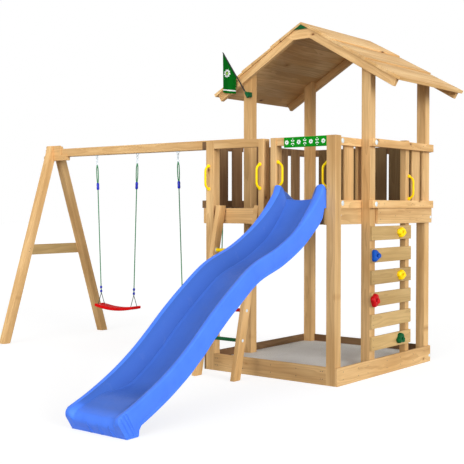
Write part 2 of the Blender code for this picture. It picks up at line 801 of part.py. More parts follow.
def slide_chute(half, rim, depth, floor_half):
    """The chute from the top of its right side to its middle, as points of X and Z."""
    inner = half - SLIDE_RIM_WIDTH
    points = []
    for across, down in SLIDE_CREASE:
        x = inner + (floor_half - inner) * across
        points.append((x, rim - SLIDE_RIM_EDGE - (depth - SLIDE_RIM_EDGE) * down))
    return points + [(0.0, rim - depth - SLIDE_FLOOR_DISH)]


def slide_section(half, rim, depth, foot, floor_half):
    """The outline of one cross-section: over the top from left to right, then back underneath."""
    inner = half - SLIDE_RIM_WIDTH
    shell = SLIDE_SHELL
    over = [(half, foot)] + [(half - inset, rim - drop) for inset, drop in SLIDE_RIM_ROUNDING]
    over.append((inner, rim - SLIDE_RIM_EDGE))
    wall = half - shell
    under = [(wall, foot)] + [(wall - inset, rim - drop) for inset, drop in SLIDE_RIM_UNDERSIDE]
    under.append((inner + SLIDE_RIM_EDGE, rim - SLIDE_RIM_EDGE - shell))
    for x, z in slide_chute(half, rim, depth, floor_half):
        over.append((x, z))
        under.append((x, z - shell))
    over_all = [(-x, z) for x, z in over] + [(x, z) for x, z in reversed(over[:-1])]
    under_all = [(-x, z) for x, z in under] + [(x, z) for x, z in reversed(under[:-1])]
    return over_all + list(reversed(under_all))


def slide_floor_half(share):
    """Half the width of the chute's flat floor. It widens to the end."""
    widening = SLIDE_END_FLOOR_HALF - SLIDE_FLOOR_HALF
    into = (share - SLIDE_WIDENS_FROM) / (1 - SLIDE_WIDENS_FROM)
    return SLIDE_FLOOR_HALF + widening * eased_step(max(0.0, into))


def slide_foot_sections(half, start_y):
    """The rounded end, as outlines whose points each have their own Y. It leans back to its foot."""
    floor_half = slide_floor_half(1.0)
    end = FRONT - SLIDE_RUN
    steps = SLIDE_FOOT_STEPS
    found = []
    for step in range(steps + 1):
        turn = math.pi / 2 * step / steps
        y = end + SLIDE_END_ROUNDING * (1 - math.sin(turn))
        rim = slide_station((FRONT - y) / SLIDE_RUN)[1]
        top = rim - SLIDE_END_ROUNDING * (1 - math.cos(turn))
        foot_y = start_y + (end + SLIDE_END_LEAN - start_y) * (step + 1) / (steps + 1)
        section = slide_section(half, top, SLIDE_END_DEPTH, 0.0, floor_half)
        found.append([(x, y + (foot_y - y) * (1 - z / top), z) for x, z in section])
    return found


def build_slide():
    """One moulded wave slide, from the front joist to its foot on the ground."""
    half = SLIDE_BAY / 2 - SLIDE_SIDE_CLEARANCE
    middle = SLIDE_POST_RIGHT + SLIDE_BAY / 2
    sections = []
    rest = DECK_TOP + GAP
    top_rim = DECK_TOP + SLIDE_TOP_RIM
    lip = top_rim - SLIDE_CHUTE_DEPTH - SLIDE_LIP_DROP
    post_rim = RAIL_TOP - HANDLE_FOOT_BELOW_RAIL - HANDLE_FOOT_RADIUS - SLIDE_SIDE_CLEARANCE
    for back_by, share in SLIDE_HORN:
        rim = lip + (top_rim - lip) * share
        if back_by > 0:
            rim = min(rim, post_rim)
        section = slide_section(half, rim, rim - lip, rest, SLIDE_FLOOR_HALF)
        sections.append([(x, FRONT + back_by, z) for x, z in section])
    foot_start = 1 - SLIDE_FOOT_LENGTH / SLIDE_RUN
    first = SLIDE_FIRST_STATION
    for index in range(SLIDE_STATIONS):
        share = first + (foot_start - first) * index / (SLIDE_STATIONS - 1)
        y, rim, depth, foot = slide_station(share)
        section = slide_section(half, rim, depth, foot, slide_floor_half(share))
        sections.append([(x, y, z) for x, z in section])
    y, rim, depth, _ = slide_station(foot_start + SLIDE_FOOT_EDGE)
    section = slide_section(half, rim, depth, 0.0, slide_floor_half(foot_start))
    sections.append([(x, y, z) for x, z in section])
    sections += slide_foot_sections(half, y)
    work = bmesh.new()
    rings = []
    for section in sections:
        rings.append([work.verts.new((middle + x, y, z)) for x, y, z in section])
    work.faces.new(rings[0])
    for before, after in zip(rings, rings[1:]):
        count = len(before)
        for index in range(count):
            following = (index + 1) % count
            corners = (before[index], before[following], after[following], after[index])
            work.faces.new(corners)
    work.faces.new(rings[-1])
    mesh = mesh_from("slide", work)
    slide = smooth(finished(placed("slide", mesh), BLUE))
    combined(slide, slide_apron(half, middle), "UNION")


def slide_apron(half, middle):
    """The front of the slide's foot, from the end of the chute down to the ground, as a helper."""
    end = FRONT - SLIDE_RUN
    top = SLIDE_END_RIM - SLIDE_END_ROUNDING
    chute = slide_chute(half, top, SLIDE_END_DEPTH, slide_floor_half(1.0))
    edge = [(half - SLIDE_SHELL / 2, 0.0), (half - SLIDE_SHELL / 2, top - SLIDE_RIM_DROP)]
    side = edge + [(x, z - SLIDE_SHELL / 2) for x, z in chute]
    outline = side + [(-x, z) for x, z in reversed(side[:-1])]
    work = bmesh.new()
    rings = []
    for back in (0.0, APRON_THICKNESS):
        ring = []
        for x, z in outline:
            lean = SLIDE_END_LEAN * (1 - z / top)
            ring.append(work.verts.new((middle + x, end + APRON_INSET + lean + back, z)))
        rings.append(ring)
    work.faces.new(rings[0])
    work.faces.new(rings[1])
    count = len(outline)
    for index in range(count):
        following = (index + 1) % count
        corners = (rings[0][index], rings[0][following], rings[1][following], rings[1][index])
        work.faces.new(corners)
    apron = placed("slide_apron", mesh_from("slide_apron", work))
    apron.hide_render = True
    apron.display_type = "WIRE"
    return apron


def build_ladder():
    """Two leaning stringers and four coloured rungs."""
    top = DECK_TOP + LADDER_RISE_ABOVE_DECK
    top_back = FRONT + POST
    top_front = top_back - STRINGER_WIDTH
    outline = (
        (top_front - LADDER_REACH, 0.0),
        (top_back - LADDER_REACH, 0.0),
        (top_back, top),
        (top_front, top),
    )
    left_start = LEFT + POST + JOIST_THICKNESS + 2 * GAP
    right_start = LADDER_POST_LEFT - GAP - STRINGER_THICKNESS
    for side, start in (("left", left_start), ("right", right_start)):
        end = start + STRINGER_THICKNESS
        prism(f"ladder_stringer_{side}", outline, "X", start, end)
    rungs = (("green", GREEN), ("red", RED), ("blue", BLUE), ("yellow", YELLOW))
    rung_left = left_start + STRINGER_THICKNESS + GAP
    rung_right = right_start - GAP
    for index, (colour, finish) in enumerate(rungs):
        height = LOWEST_RUNG + index * RUNG_PITCH
        middle = (top_front + top_back) / 2 - LADDER_REACH * (1 - height / top)
        work = bmesh.new()
        bmesh.ops.create_cone(
            work,
            cap_ends=True,
            segments=RUNG_SIDES,
            radius1=RUNG_RADIUS,
            radius2=RUNG_RADIUS,
            depth=rung_right - rung_left,
            matrix=Matrix.Rotation(math.radians(90), 4, "Y"),
        )
        name = f"rung_{colour}"
        place = ((rung_left + rung_right) / 2, middle, height)
        smooth(finished(placed(name, mesh_from(name, work), place), finish))


def build_handles():
    """Five bow handles, each with its two feet on a post's face."""
    half = HANDLE_HEIGHT / 2
    shape = list(HANDLE_BOW) + [(out, -up) for out, up in reversed(HANDLE_BOW)]
    radii = [HANDLE_FOOT_RADIUS, HANDLE_FOOT_RADIUS] + [HANDLE_RADIUS] * (len(HANDLE_BOW) - 2)
    radii = radii + list(reversed(radii))
    height = RAIL_TOP - HANDLE_FOOT_BELOW_RAIL + half
    low = LOWER_RAIL_TOP + half + HANDLE_FOOT_RADIUS + POST_CLEARANCE
    front_face = FRONT - GAP
    middle_right = SLIDE_POST_RIGHT + GAP
    side_y = FRONT + HANDLE_SIDE_INSET
    raised = height + HANDLE_SLIDE_LIFT
    handles = (
        ("handle_front_left", (LEFT + HANDLE_CORNER_INSET, front_face, height), (0, -1, 0)),
        ("handle_ladder_post", (LADDER_POST_LEFT + HANDLE_MIDDLE_INSET, front_face, height), (0, -1, 0)),
        ("handle_slide_post", (middle_right, side_y, raised), (1, 0, 0)),
        ("handle_front_right", (RIGHT - POST - GAP, side_y, height), (-1, 0, 0)),
        ("handle_climbing_stud", (RIGHT + GAP, STUD_FRONT + HANDLE_STUD_INSET, low), (1, 0, 0)),
    )
    for name, place, outward in handles:
        points = []
        for out, up in shape:
            shift = Vector(outward) * (out * HANDLE_STAND_OFF)
            points.append(Vector(place) + shift + Vector((0, 0, up * half)))
        tube(name, points, radii, YELLOW)


def build_swing_frame():
    """A beam from the tower's roof post to an A-frame, with four eyes under it."""
    low = (LEFT - BEAM_LENGTH, BEAM_Y - BEAM / 2, BEAM_BOTTOM)
    beam_box = (low, (LEFT - GAP, BEAM_Y + BEAM / 2, BEAM_TOP))
    eyes = []
    for x in hanger_places():
        length, width, thickness = EYE_PLATE
        plate_low = (x - length / 2, BEAM_Y - width / 2, BEAM_BOTTOM - thickness)
        eyes.append((plate_low, (x + length / 2, BEAM_Y + width / 2, BEAM_BOTTOM + EDGE)))
        stem = EYE_STEM
        stem_bottom = PIVOT_Z + math.hypot(EYE_RADIUS, EYE_RADIUS) + POST_CLEARANCE
        stem_low = (x - stem, BEAM_Y - stem, stem_bottom)
        eyes.append((stem_low, (x + stem, BEAM_Y + stem, BEAM_BOTTOM + EDGE)))
    assembly("swing_beam", [beam_box], eyes)
    beam_side = BEAM / 2 + GAP
    cheek_side = beam_side + SADDLE_CHEEK
    leg_top = BEAM_TOP + LEG_TOP_ABOVE_BEAM
    low_top = BEAM_BOTTOM + SADDLE_LOW_CHEEK
    left, right = A_FRAME_X - SADDLE_OUTWARD, A_FRAME_X + SADDLE_INWARD
    base_low = (left, BEAM_Y - cheek_side, SADDLE_BOTTOM)
    base_high = (right, BEAM_Y - cheek_side + SADDLE_WIDTH, BEAM_BOTTOM - GAP)
    cheek_low = (left, BEAM_Y - cheek_side, SADDLE_BOTTOM + SADDLE_BASE / 2)
    cheek = (cheek_low, (right, BEAM_Y - beam_side, low_top))
    head_low = (A_FRAME_X - SADDLE_HEAD_OUTWARD, BEAM_Y - cheek_side, low_top - SADDLE_LOW_CHEEK / 2)
    head = (head_low, (A_FRAME_X + SADDLE_HEAD_INWARD, BEAM_Y - beam_side, leg_top))
    saddle = assembly("swing_saddle", [(base_low, base_high)], [cheek])
    combined(saddle, helper("swing_saddle_head", [head]), "UNION")
    inner_foot = A_FRAME_HALF_SPREAD - leg_width() / 2
    slant = leg_slant()
    under = SADDLE_BOTTOM - GAP
    for place, sign, cut in (("front", -1, cheek_side + GAP), ("back", 1, beam_side)):
        half_outline = (
            (inner_foot, 0.0),
            (inner_foot + leg_width(), 0.0),
            (inner_foot + leg_width() - slant * leg_top, leg_top),
            (cut, leg_top),
            (cut, under),
            (inner_foot - slant * under, under),
        )
        outline = [(BEAM_Y + sign * across, z) for across, z in half_outline]
        start = A_FRAME_X - LEG / 2
        prism(f"swing_leg_{place}", outline, "X", start, start + LEG, PINE, False)
    bottom = CROSSBAR_MIDDLE - CROSSBAR_HEIGHT / 2
    top = CROSSBAR_MIDDLE + CROSSBAR_HEIGHT / 2
    end = A_FRAME_X - LEG / 2 - GAP
    reach = inner_foot + leg_width() + CROSSBAR_OVERHANG
    corners = ((-1, bottom), (1, bottom), (1, top), (-1, top))
    outline = [(BEAM_Y + sign * (reach - slant * z), z) for sign, z in corners]
    prism("swing_crossbar", outline, "X", end - CROSSBAR_THICKNESS, end)


def leg_slant():
    """How far a leg of the A-frame moves in for each metre up, to end at the beam's faces."""
    foot = A_FRAME_HALF_SPREAD - leg_width() / 2
    return (foot - BEAM / 2) / SADDLE_BOTTOM


def leg_width():
    """The width of a leg, measured level."""
    return LEG * math.hypot(1.0, (A_FRAME_HALF_SPREAD - BEAM) / SADDLE_BOTTOM)


def hanger_places():
    """The X of each of the four eyes under the beam."""
    places = []
    for distance in SWING_DISTANCES:
        middle = LEFT - distance
        places += [middle - HANGER_SPAN / 2, middle + HANGER_SPAN / 2]
    return places


def rope_radius(share):
    """The radius along a rope from its eye: hook, spliced loop, adjuster, rope and end bead."""
    for end, size in ROPE_PARTS:
        if share <= end:
            return ROPE_RADIUS * size
    return ROPE_RADIUS * ROPE_TIP


def rope_shares():
    """Shares of the rope's length that hold its points, with a close pair at each step in radius."""
    steps = [end for end, _ in ROPE_PARTS]
    shares = [0.0, 1.0]
    for step in steps:
        shares += [step, step + ROPE_STEP]
    start, end = steps[3], steps[4]
    shares += [start + (end - start) * index / ROPE_POINTS for index in range(1, ROPE_POINTS)]
    return sorted(shares)


def hanger_frame(name, middle_x, apex_z, base_z):
    """A closed triangle of bar across the seat, as a hidden helper."""
    half = HANGER_BASE / 2
    corners = [Vector((0.0, apex_z)), Vector((half, base_z)), Vector((-half, base_z))]
    sides = [(corners[(i + 1) % 3] - corners[(i + 2) % 3]).length for i in range(3)]
    total = sum(sides)
    middle = sum((corner * side for corner, side in zip(corners, sides)), Vector((0.0, 0.0))) / total
    inner_radius = HANGER_BASE * (apex_z - base_z) / total
    share = 1 - 2 * HANGER_BAR / inner_radius
    work = bmesh.new()
    rings = []
    for x in (middle_x - HANGER_BAR, middle_x + HANGER_BAR):
        for scale in (1.0, share):
            ring = [middle + (corner - middle) * scale for corner in corners]
            rings.append([work.verts.new((x, BEAM_Y + point.x, point.y)) for point in ring])
    outer_a, inner_a, outer_b, inner_b = rings
    for one, other in ((outer_a, inner_a), (inner_a, inner_b), (inner_b, outer_b), (outer_b, outer_a)):
        for index in range(3):
            following = (index + 1) % 3
            work.faces.new((one[index], one[following], other[following], other[index]))
    thing = placed(name, mesh_from(name, work))
    thing.hide_render = True
    thing.display_type = "WIRE"
    return thing


def seat_height(x):
    """How far the top of the seat is above its middle, at a distance from its middle."""
    return SEAT_SAG * (2 * x / SEAT_LENGTH) ** 2


def build_seat(name, middle_x):
    """A flexible strap seat with a wire hanger near each end, turning about the beam's eyes."""
    work = bmesh.new()
    rings = []
    half_width, half_thickness = SEAT_WIDTH / 2, SEAT_THICKNESS / 2
    rounding = SEAT_ROUNDING
    section = (
        (-half_width, -half_thickness + rounding),
        (-half_width + rounding, -half_thickness),
        (half_width - rounding, -half_thickness),
        (half_width, -half_thickness + rounding),
        (half_width, half_thickness - rounding),
        (half_width - rounding, half_thickness),
        (-half_width + rounding, half_thickness),
        (-half_width, half_thickness - rounding),
    )
    seat_middle = SEAT_TOP - SEAT_SAG - half_thickness
    for index in range(SEAT_STATIONS):
        x = SEAT_LENGTH * (index / (SEAT_STATIONS - 1) - 0.5)
        z = seat_middle + seat_height(x)
        ring = [work.verts.new((middle_x + x, BEAM_Y + y, z + up)) for y, up in section]
        rings.append(ring)
    work.faces.new(rings[0])
    work.faces.new(rings[-1])
    for before, after in zip(rings, rings[1:]):
        for index in range(len(section)):
            following = (index + 1) % len(section)
            corners = (before[index], before[following], after[following], after[index])
            work.faces.new(corners)
    seat = smooth(finished(placed(name, mesh_from(name, work)), RED))
    base = seat_middle + seat_height(SEAT_SPAN / 2)
    for side, sign in (("left", -1), ("right", 1)):
        place_x = middle_x + sign * SEAT_SPAN / 2
        bar = hanger_frame(f"{name}_hanger_{side}", place_x, base + HANGER_HEIGHT, base)
        combined(seat, bar, "UNION")
    return seat


def build_swings():
    """Two swings. Each one's seat and ropes hang from an empty on the axis of its eyes."""
    apex = SEAT_TOP - SEAT_SAG - SEAT_THICKNESS / 2 + seat_height(SEAT_SPAN / 2) + HANGER_HEIGHT
    rope_end = apex + 2 * GAP
    for number, distance in enumerate(SWING_DISTANCES, 1):
        middle_x = LEFT - distance
        axis = placed(f"swing_axis_{number}", None, (middle_x, BEAM_Y, PIVOT_Z))
        pieces = [build_seat(f"swing_seat_{number}", middle_x)]
        for side, sign in (("left", -1), ("right", 1)):
            top = Vector((middle_x + sign * HANGER_SPAN / 2, BEAM_Y, PIVOT_Z + EYE_RADIUS))
            end = Vector((middle_x + sign * SEAT_SPAN / 2, BEAM_Y, rope_end))
            shares = rope_shares()
            points = [top.lerp(end, share) for share in shares]
            radii = [rope_radius(share) for share in shares]
            name = f"swing_rope_{number}_{side}"
            pieces.append(tube(name, points, radii, ROPE_GREEN))
        for piece in pieces:
            piece.parent = axis
            piece.matrix_parent_inverse = Matrix.Translation(axis.location).inverted()


def build_flag():
    """A small flag hung from a leaning pole, in a holder on the front left roof post."""
    length, depth, height = FLAG_HOLDER
    middle_x = LEFT + FLAG_INSET
    holder_back = ROOF_POST_FRONT - GAP
    pole_y = holder_back - RAFTER_THICKNESS - ROOF_OVERHANG - 2 * POLE_RADIUS
    foot = Vector((middle_x, pole_y, FLAG_HOLDER_TOP - height / 2))
    tip = foot + Vector((-POLE_LEAN, 0.0, POLE_RISE))
    pole = tube("flagpole", (foot, tip), (POLE_RADIUS, POLE_RADIUS), BLACK)
    holder_low = (middle_x - length / 2, pole_y - depth / 2, FLAG_HOLDER_TOP - height)
    holder = helper("flag_holder", [(holder_low, (middle_x + length / 2, holder_back, FLAG_HOLDER_TOP))])
    bpy.context.view_layer.update()
    graph = bpy.context.evaluated_depsgraph_get()
    mesh = bpy.data.meshes.new_from_object(pole.evaluated_get(graph))
    material = pole.data.materials[0]
    bpy.data.objects.remove(pole, do_unlink=True)
    pole = placed("flagpole", mesh)
    pole.data.materials.clear()
    pole.data.materials.append(material)
    combined(pole, holder, "UNION")
    near, far = (foot.lerp(tip, share) for share in FLAG_ALONG_POLE)
    clear = POLE_RADIUS * math.hypot(1.0, POLE_RISE / POLE_LEAN) + POST_CLEARANCE
    outline = (
        (far.x, far.z - clear),
        (near.x, near.z - clear),
        (near.x, near.z - clear - FLAG_SHORT_DROP),
        (far.x, far.z - clear - FLAG_DROP),
    )
    start = pole_y - FLAG_THICKNESS / 2
    prism("flag", outline, "Y", start, start + FLAG_THICKNESS, GREEN, False)


clear_scene()
build_front_posts()
build_roof_posts()
build_joists()
build_deck()
build_railings()
build_front_rails()
build_sandbox()
build_climbing_wall()
build_holds()
build_roof()
build_slide()
build_ladder()
build_handles()
build_swing_frame()
build_swings()
build_flag()
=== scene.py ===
"""The play tower's looks: grained timber boards, a moulded slide, ropes, holds, fittings and light.

Metres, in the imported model's frame: +X to the right along the front, +Y to the back, +Z up.
"""
import math
import random

import bmesh
import bpy
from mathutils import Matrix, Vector


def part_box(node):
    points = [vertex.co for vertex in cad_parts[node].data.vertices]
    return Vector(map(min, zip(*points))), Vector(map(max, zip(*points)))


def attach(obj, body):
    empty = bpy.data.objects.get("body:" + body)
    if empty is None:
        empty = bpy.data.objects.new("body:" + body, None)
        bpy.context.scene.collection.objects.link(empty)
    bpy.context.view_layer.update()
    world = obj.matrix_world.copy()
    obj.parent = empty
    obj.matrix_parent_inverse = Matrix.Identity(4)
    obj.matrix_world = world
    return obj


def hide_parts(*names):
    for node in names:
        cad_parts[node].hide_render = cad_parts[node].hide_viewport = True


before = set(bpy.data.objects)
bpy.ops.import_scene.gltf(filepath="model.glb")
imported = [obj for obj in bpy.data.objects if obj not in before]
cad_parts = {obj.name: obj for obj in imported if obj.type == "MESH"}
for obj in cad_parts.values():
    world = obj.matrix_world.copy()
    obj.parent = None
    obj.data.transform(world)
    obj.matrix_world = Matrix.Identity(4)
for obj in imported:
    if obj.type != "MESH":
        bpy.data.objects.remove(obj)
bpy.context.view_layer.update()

RNG = random.Random(11)

# Sizes that the solids have too
GAP = 0.0003
CLEAR = 0.001
POST = 0.09
RIGHT, LEFT, FRONT, BACK = 0.045, -1.355, -0.045, 1.655
ROOF_POST_FRONT, BACK_POST_FRONT = 0.523, 1.565
LADDER_POST_LEFT, SLIDE_POST_RIGHT = -0.755, -0.565
STUD_FRONT, STUD_WIDTH, STUD_DEPTH = 1.178, 0.069, 0.06
RAIL_TOP, RAIL_HEIGHT, RAIL_THICKNESS = 2.10, 0.07, 0.045
DECK_TOP, JOIST_BOTTOM, JOIST_THICKNESS = 1.49, 1.35, 0.028
JOIST_BACK = FRONT + POST + GAP + JOIST_THICKNESS
LOWER_RAIL = (DECK_TOP + GAP, DECK_TOP + GAP + RAIL_HEIGHT)
TOP_RAIL = (RAIL_TOP - RAIL_HEIGHT, RAIL_TOP)
PLANK_COUNT, PLANK_HEIGHT, PLANK_PITCH, PLANK_THICKNESS, FIRST_PLANK_DOWN = 6, 0.125, 0.195, 0.022, 0.02
RIDGE_X, RIDGE_TOP = -0.655, 3.19
ROOF_HALF_SPAN, ROOF_RISE = 1.016, 0.596
ROOF_SLOPE = math.atan2(ROOF_RISE, ROOF_HALF_SPAN)
ROOF_FALL = math.tan(ROOF_SLOPE)
ROOF_BOARDS, ROOF_BOARD, ROOF_LAP = 9, 0.018, 0.012
ROOF_FRONT, ROOF_BACK = 0.4627, 1.7153
RAFTER_DEPTH, RAFTER_THICKNESS, RAFTER_SHORT = 0.07, 0.045, 0.035
COLLAR_BOTTOM = RIDGE_TOP - 0.153
BEAM, BEAM_TOP, BEAM_BOTTOM, BEAM_Y = 0.09, 2.163, 2.073, 0.568
BEAM_END = LEFT - 2.90
A_FRAME_X, LEG, HALF_SPREAD = LEFT - 2.787, 0.085, 0.737
SADDLE_BOTTOM = BEAM_BOTTOM - GAP - 0.042
PIVOT_Z, EYE_Z, HANGER_Z = 2.043, 2.055, 0.523
SWING_MIDDLES = (LEFT - 1.78, LEFT - 0.58)
HANGER_SPAN, SEAT_SPAN = 0.623, 0.50
SEAT_LENGTH, SEAT_WIDTH, SEAT_THICKNESS, SEAT_SAG = 0.56, 0.15, 0.032, 0.03
SEAT_LOW = 0.435 - SEAT_SAG
SLIDE_MIDDLE, SLIDE_HALF = -0.305, 0.258
SLIDE_RUN, SLIDE_TOP_RIM, SLIDE_END_RIM = 2.425, 0.20, 0.152
SLIDE_END = FRONT - SLIDE_RUN
SLIDE_WAVE = (
    (0.000, 1.000), (0.072, 0.878), (0.161, 0.764), (0.267, 0.675), (0.407, 0.594), (0.519, 0.482),
    (0.609, 0.377), (0.677, 0.288), (0.743, 0.208), (0.822, 0.129), (0.913, 0.056), (1.000, 0.000),
)
SLIDE_HORN = (
    (0.118, 0.12), (0.110, 0.18), (0.100, 0.27), (0.088, 0.36), (0.075, 0.45), (0.060, 0.54),
    (0.045, 0.62), (0.025, 0.66), (0.008, 0.68), (0.000, 0.82), (-0.012, 0.95), (-0.026, 1.00),
)
AXES = {"X": (1, 0, 0), "Y": (0, 1, 0), "Z": (0, 0, 1)}
OUT_RIGHT, OUT_FRONT, UP = (1, 0, 0), (0, -1, 0), (0, 0, 1)

# Camera at the photograph's viewing angle
CAMERA_PLACE = (4.210, -6.686, 1.499)
CAMERA_TURN = (math.radians(90 - 1.519), 0.0, math.radians(38.38))
CAMERA_LENS = 72.86


def make_camera():
    data = bpy.data.cameras.new("camera")
    data.lens = CAMERA_LENS
    data.sensor_width = 36.0
    data.clip_end = 200.0
    camera = bpy.data.objects.new("camera", data)
    camera.location = CAMERA_PLACE
    camera.rotation_euler = CAMERA_TURN
    bpy.context.scene.collection.objects.link(camera)
    bpy.context.scene.camera = camera


# Materials


class Graph:
    """The nodes of a material or of the world, round the shader that it starts with."""

    def __init__(self, owner, shader="Principled BSDF"):
        self.owner = owner
        owner.use_nodes = True
        self.tree = owner.node_tree
        self.shader = self.tree.nodes[shader]

    def put(self, target, value):
        if isinstance(value, bpy.types.NodeSocket):
            self.tree.links.new(value, target)
        else:
            target.default_value = value

    def node(self, kind, inputs, **settings):
        """Adds a node and gives its outputs."""
        made = self.tree.nodes.new("ShaderNode" + kind)
        for key, value in settings.items():
            setattr(made, key, value)
        for key, value in inputs.items():
            self.put(made.inputs[key], value)
        return made.outputs

    def set(self, **values):
        for key, value in values.items():
            self.put(self.shader.inputs[key.replace("_", " ")], value)

    def math(self, operation, a, b=0.0):
        return self.node("Math", {0: a, 1: b}, operation=operation)[0]

    def times(self, a, b):
        return self.math("MULTIPLY", a, b)

    def scaled(self, vector, scale):
        return self.node("VectorMath", {0: vector, 1: scale}, operation="MULTIPLY")[0]

    def noise(self, vector, scale, detail=3.0, distortion=0.0):
        inputs = {"Vector": vector, "Scale": scale, "Detail": detail, "Distortion": distortion}
        return self.node("TexNoise", inputs)["Fac"]

    def speckle(self, vector, scale):
        """A flat level for each cell of a fine pattern."""
        cells = self.node("TexVoronoi", {"Vector": vector, "Scale": scale})["Color"]
        return self.node("SeparateColor", {0: cells})[0]

    def ramp(self, value, low, high, start=0.0, end=1.0):
        return self.node("MapRange", {"Value": value, 1: low, 2: high, 3: start, 4: end})[0]

    def mix(self, share, first, second, blend="MIX"):
        return self.node("Mix", {0: share, 6: first, 7: second}, data_type="RGBA", blend_type=blend)[2]

    def bump(self, height, strength, distance):
        inputs = {"Height": height, "Strength": strength, "Distance": distance}
        self.set(Normal=self.node("Bump", inputs)[0])

    def where(self):
        return self.node("TexCoord", {})["Object"]

    def attribute(self, name, output):
        return self.node("Attribute", {}, attribute_name=name)[output]

    def seen_directly(self):
        """One for a ray from the camera, from a mirror or through glass, and zero for light."""
        paths = self.node("LightPath", {})
        seen = self.math("MAXIMUM", paths["Is Camera Ray"], paths["Is Glossy Ray"])
        return self.math("MAXIMUM", seen, paths["Is Transmission Ray"])


def new_material(name):
    return Graph(bpy.data.materials.new(name))


def wood_material(name, pale, line, warm, knot, knot_scale):
    """Pine: growth rings round a pith, fibres along the board, knots, and a tone of each board's own."""
    g = new_material(name)
    grain = g.attribute("grain", "Vector")
    inputs = {"Vector": g.scaled(grain, knot_scale), "Scale": 1.0, "Randomness": 0.85}
    knots = g.node("TexVoronoi", inputs)
    distance = knots["Distance"]
    kept = g.math("GREATER_THAN", g.node("SeparateColor", {0: knots["Color"]})[0], 0.5)
    swirl = g.ramp(distance, 0.0, 0.42, 0.016, 0.0)
    sway = g.noise(g.scaled(grain, (1.3, 5.0, 5.0)), 1.0, 2.0)
    shift = g.node("CombineXYZ", {"X": 0.0, "Y": swirl, "Z": g.times(sway, 0.05)})[0]
    inputs = {0: g.scaled(grain, (0.10, 1.0, 1.0)), 1: shift}
    rings_at = g.node("VectorMath", inputs, operation="ADD")[0]
    inputs = {"Vector": rings_at, "Scale": 26.0, "Distortion": 2.2, "Detail": 2.0, "Detail Scale": 1.6}
    rings = g.node("TexWave", inputs, wave_type="RINGS", rings_direction="X", wave_profile="SAW")["Fac"]
    latewood = g.ramp(rings, 0.35, 1.0)
    fibres = g.noise(g.scaled(grain, (5.0, 170.0, 170.0)), 1.0)
    broad = g.noise(g.scaled(grain, (0.9, 14.0, 14.0)), 1.0)
    patches = g.noise(g.scaled(grain, (1.5, 3.0, 3.0)), 1.0, 2.0)
    body = g.mix(g.ramp(patches, 0.35, 0.68), pale, warm)
    body = g.mix(g.ramp(broad, 0.42, 0.72, 0.0, 0.55), body, line)
    body = g.mix(g.times(latewood, 0.42), body, line)
    body = g.mix(g.ramp(fibres, 0.35, 0.7, 0.0, 0.22), body, line)
    level = g.ramp(g.attribute("tone", "Fac"), 0.0, 1.0, 0.78, 1.12)
    body = g.mix(1.0, body, g.node("CombineColor", {0: level, 1: level, 2: level})[0], "MULTIPLY")
    body = g.mix(g.times(g.ramp(distance, 0.10, 0.22, 0.6, 0.0), kept), body, line)
    body = g.mix(g.times(g.ramp(distance, 0.055, 0.10, 0.9, 0.0), kept), body, knot)
    g.set(Base_Color=body, Roughness=g.ramp(fibres, 0.3, 0.7, 0.5, 0.72), Specular_IOR_Level=0.15)
    g.bump(g.math("ADD", g.times(latewood, 0.5), g.times(fibres, 0.5)), 0.35, 0.0012)
    return g.owner


def plastic_material(name, base, shade, roughness, specular, painted_shade=None):
    """Moulded plastic: an orange-peel skin, slight clouding and scuffs, and painted shade by tone where
    given.
    """
    g = new_material(name)
    at = g.where()
    scuffs = g.noise(g.scaled(at, (30.0, 30.0, 4.0)), 1.0, 4.0, 1.2)
    tint = g.mix(g.ramp(g.noise(at, 9.0), 0.35, 0.7), base, shade)
    # Painted shade: the tint moves towards a darker colour by the tone attribute.
    if painted_shade:
        tint = g.mix(g.attribute("tone", "Fac"), tint, painted_shade)
    tint = g.mix(g.ramp(scuffs, 0.62, 0.8, 0.0, 0.03), tint, (0.9, 0.92, 0.95, 1))
    g.set(Base_Color=tint, Roughness=g.ramp(scuffs, 0.35, 0.75, roughness - 0.05, roughness + 0.1))
    g.set(Specular_IOR_Level=specular)
    g.bump(g.noise(at, 420.0, 2.0), 0.12, 0.0006)
    return g.owner


def zinc_material():
    g = new_material("galvanised_steel")
    at = g.where()
    level = g.speckle(at, 160.0)
    g.set(Base_Color=g.mix(level, (0.60, 0.70, 0.76, 1), (0.80, 0.90, 0.96, 1)), Metallic=0.25)
    g.set(Roughness=g.ramp(level, 0.0, 1.0, 0.28, 0.45))
    g.bump(g.noise(at, 300.0), 0.15, 0.0004)
    return g.owner


def dark_steel_material():
    g = new_material("dark_screws")
    rust = g.noise(g.where(), 60.0)
    tint = g.mix(g.ramp(rust, 0.4, 0.65), (0.10, 0.07, 0.045, 1), (0.24, 0.15, 0.08, 1))
    g.set(Base_Color=tint, Roughness=g.ramp(rust, 0.3, 0.7, 0.4, 0.65), Metallic=0.4)
    return g.owner


def rope_material():
    """Twisted rope: fine filaments that follow the strands."""
    g = new_material("green_rope")
    inputs = {"Vector": g.attribute("grain", "Vector"), "Scale": 1.0, "Distortion": 1.5, "Detail": 2.0}
    hairs = g.node("TexWave", inputs, bands_direction="DIAGONAL")["Fac"]
    soft = g.noise(g.where(), 300.0)
    tint = g.mix(hairs, (0.012, 0.13, 0.045, 1), (0.035, 0.30, 0.10, 1))
    tint = g.mix(g.ramp(soft, 0.4, 0.8, 0.0, 0.35), tint, (0.10, 0.42, 0.18, 1))
    g.set(Base_Color=tint, Roughness=g.ramp(soft, 0.3, 0.7, 0.7, 0.95))
    g.bump(hairs, 0.5, 0.0006)
    return g.owner


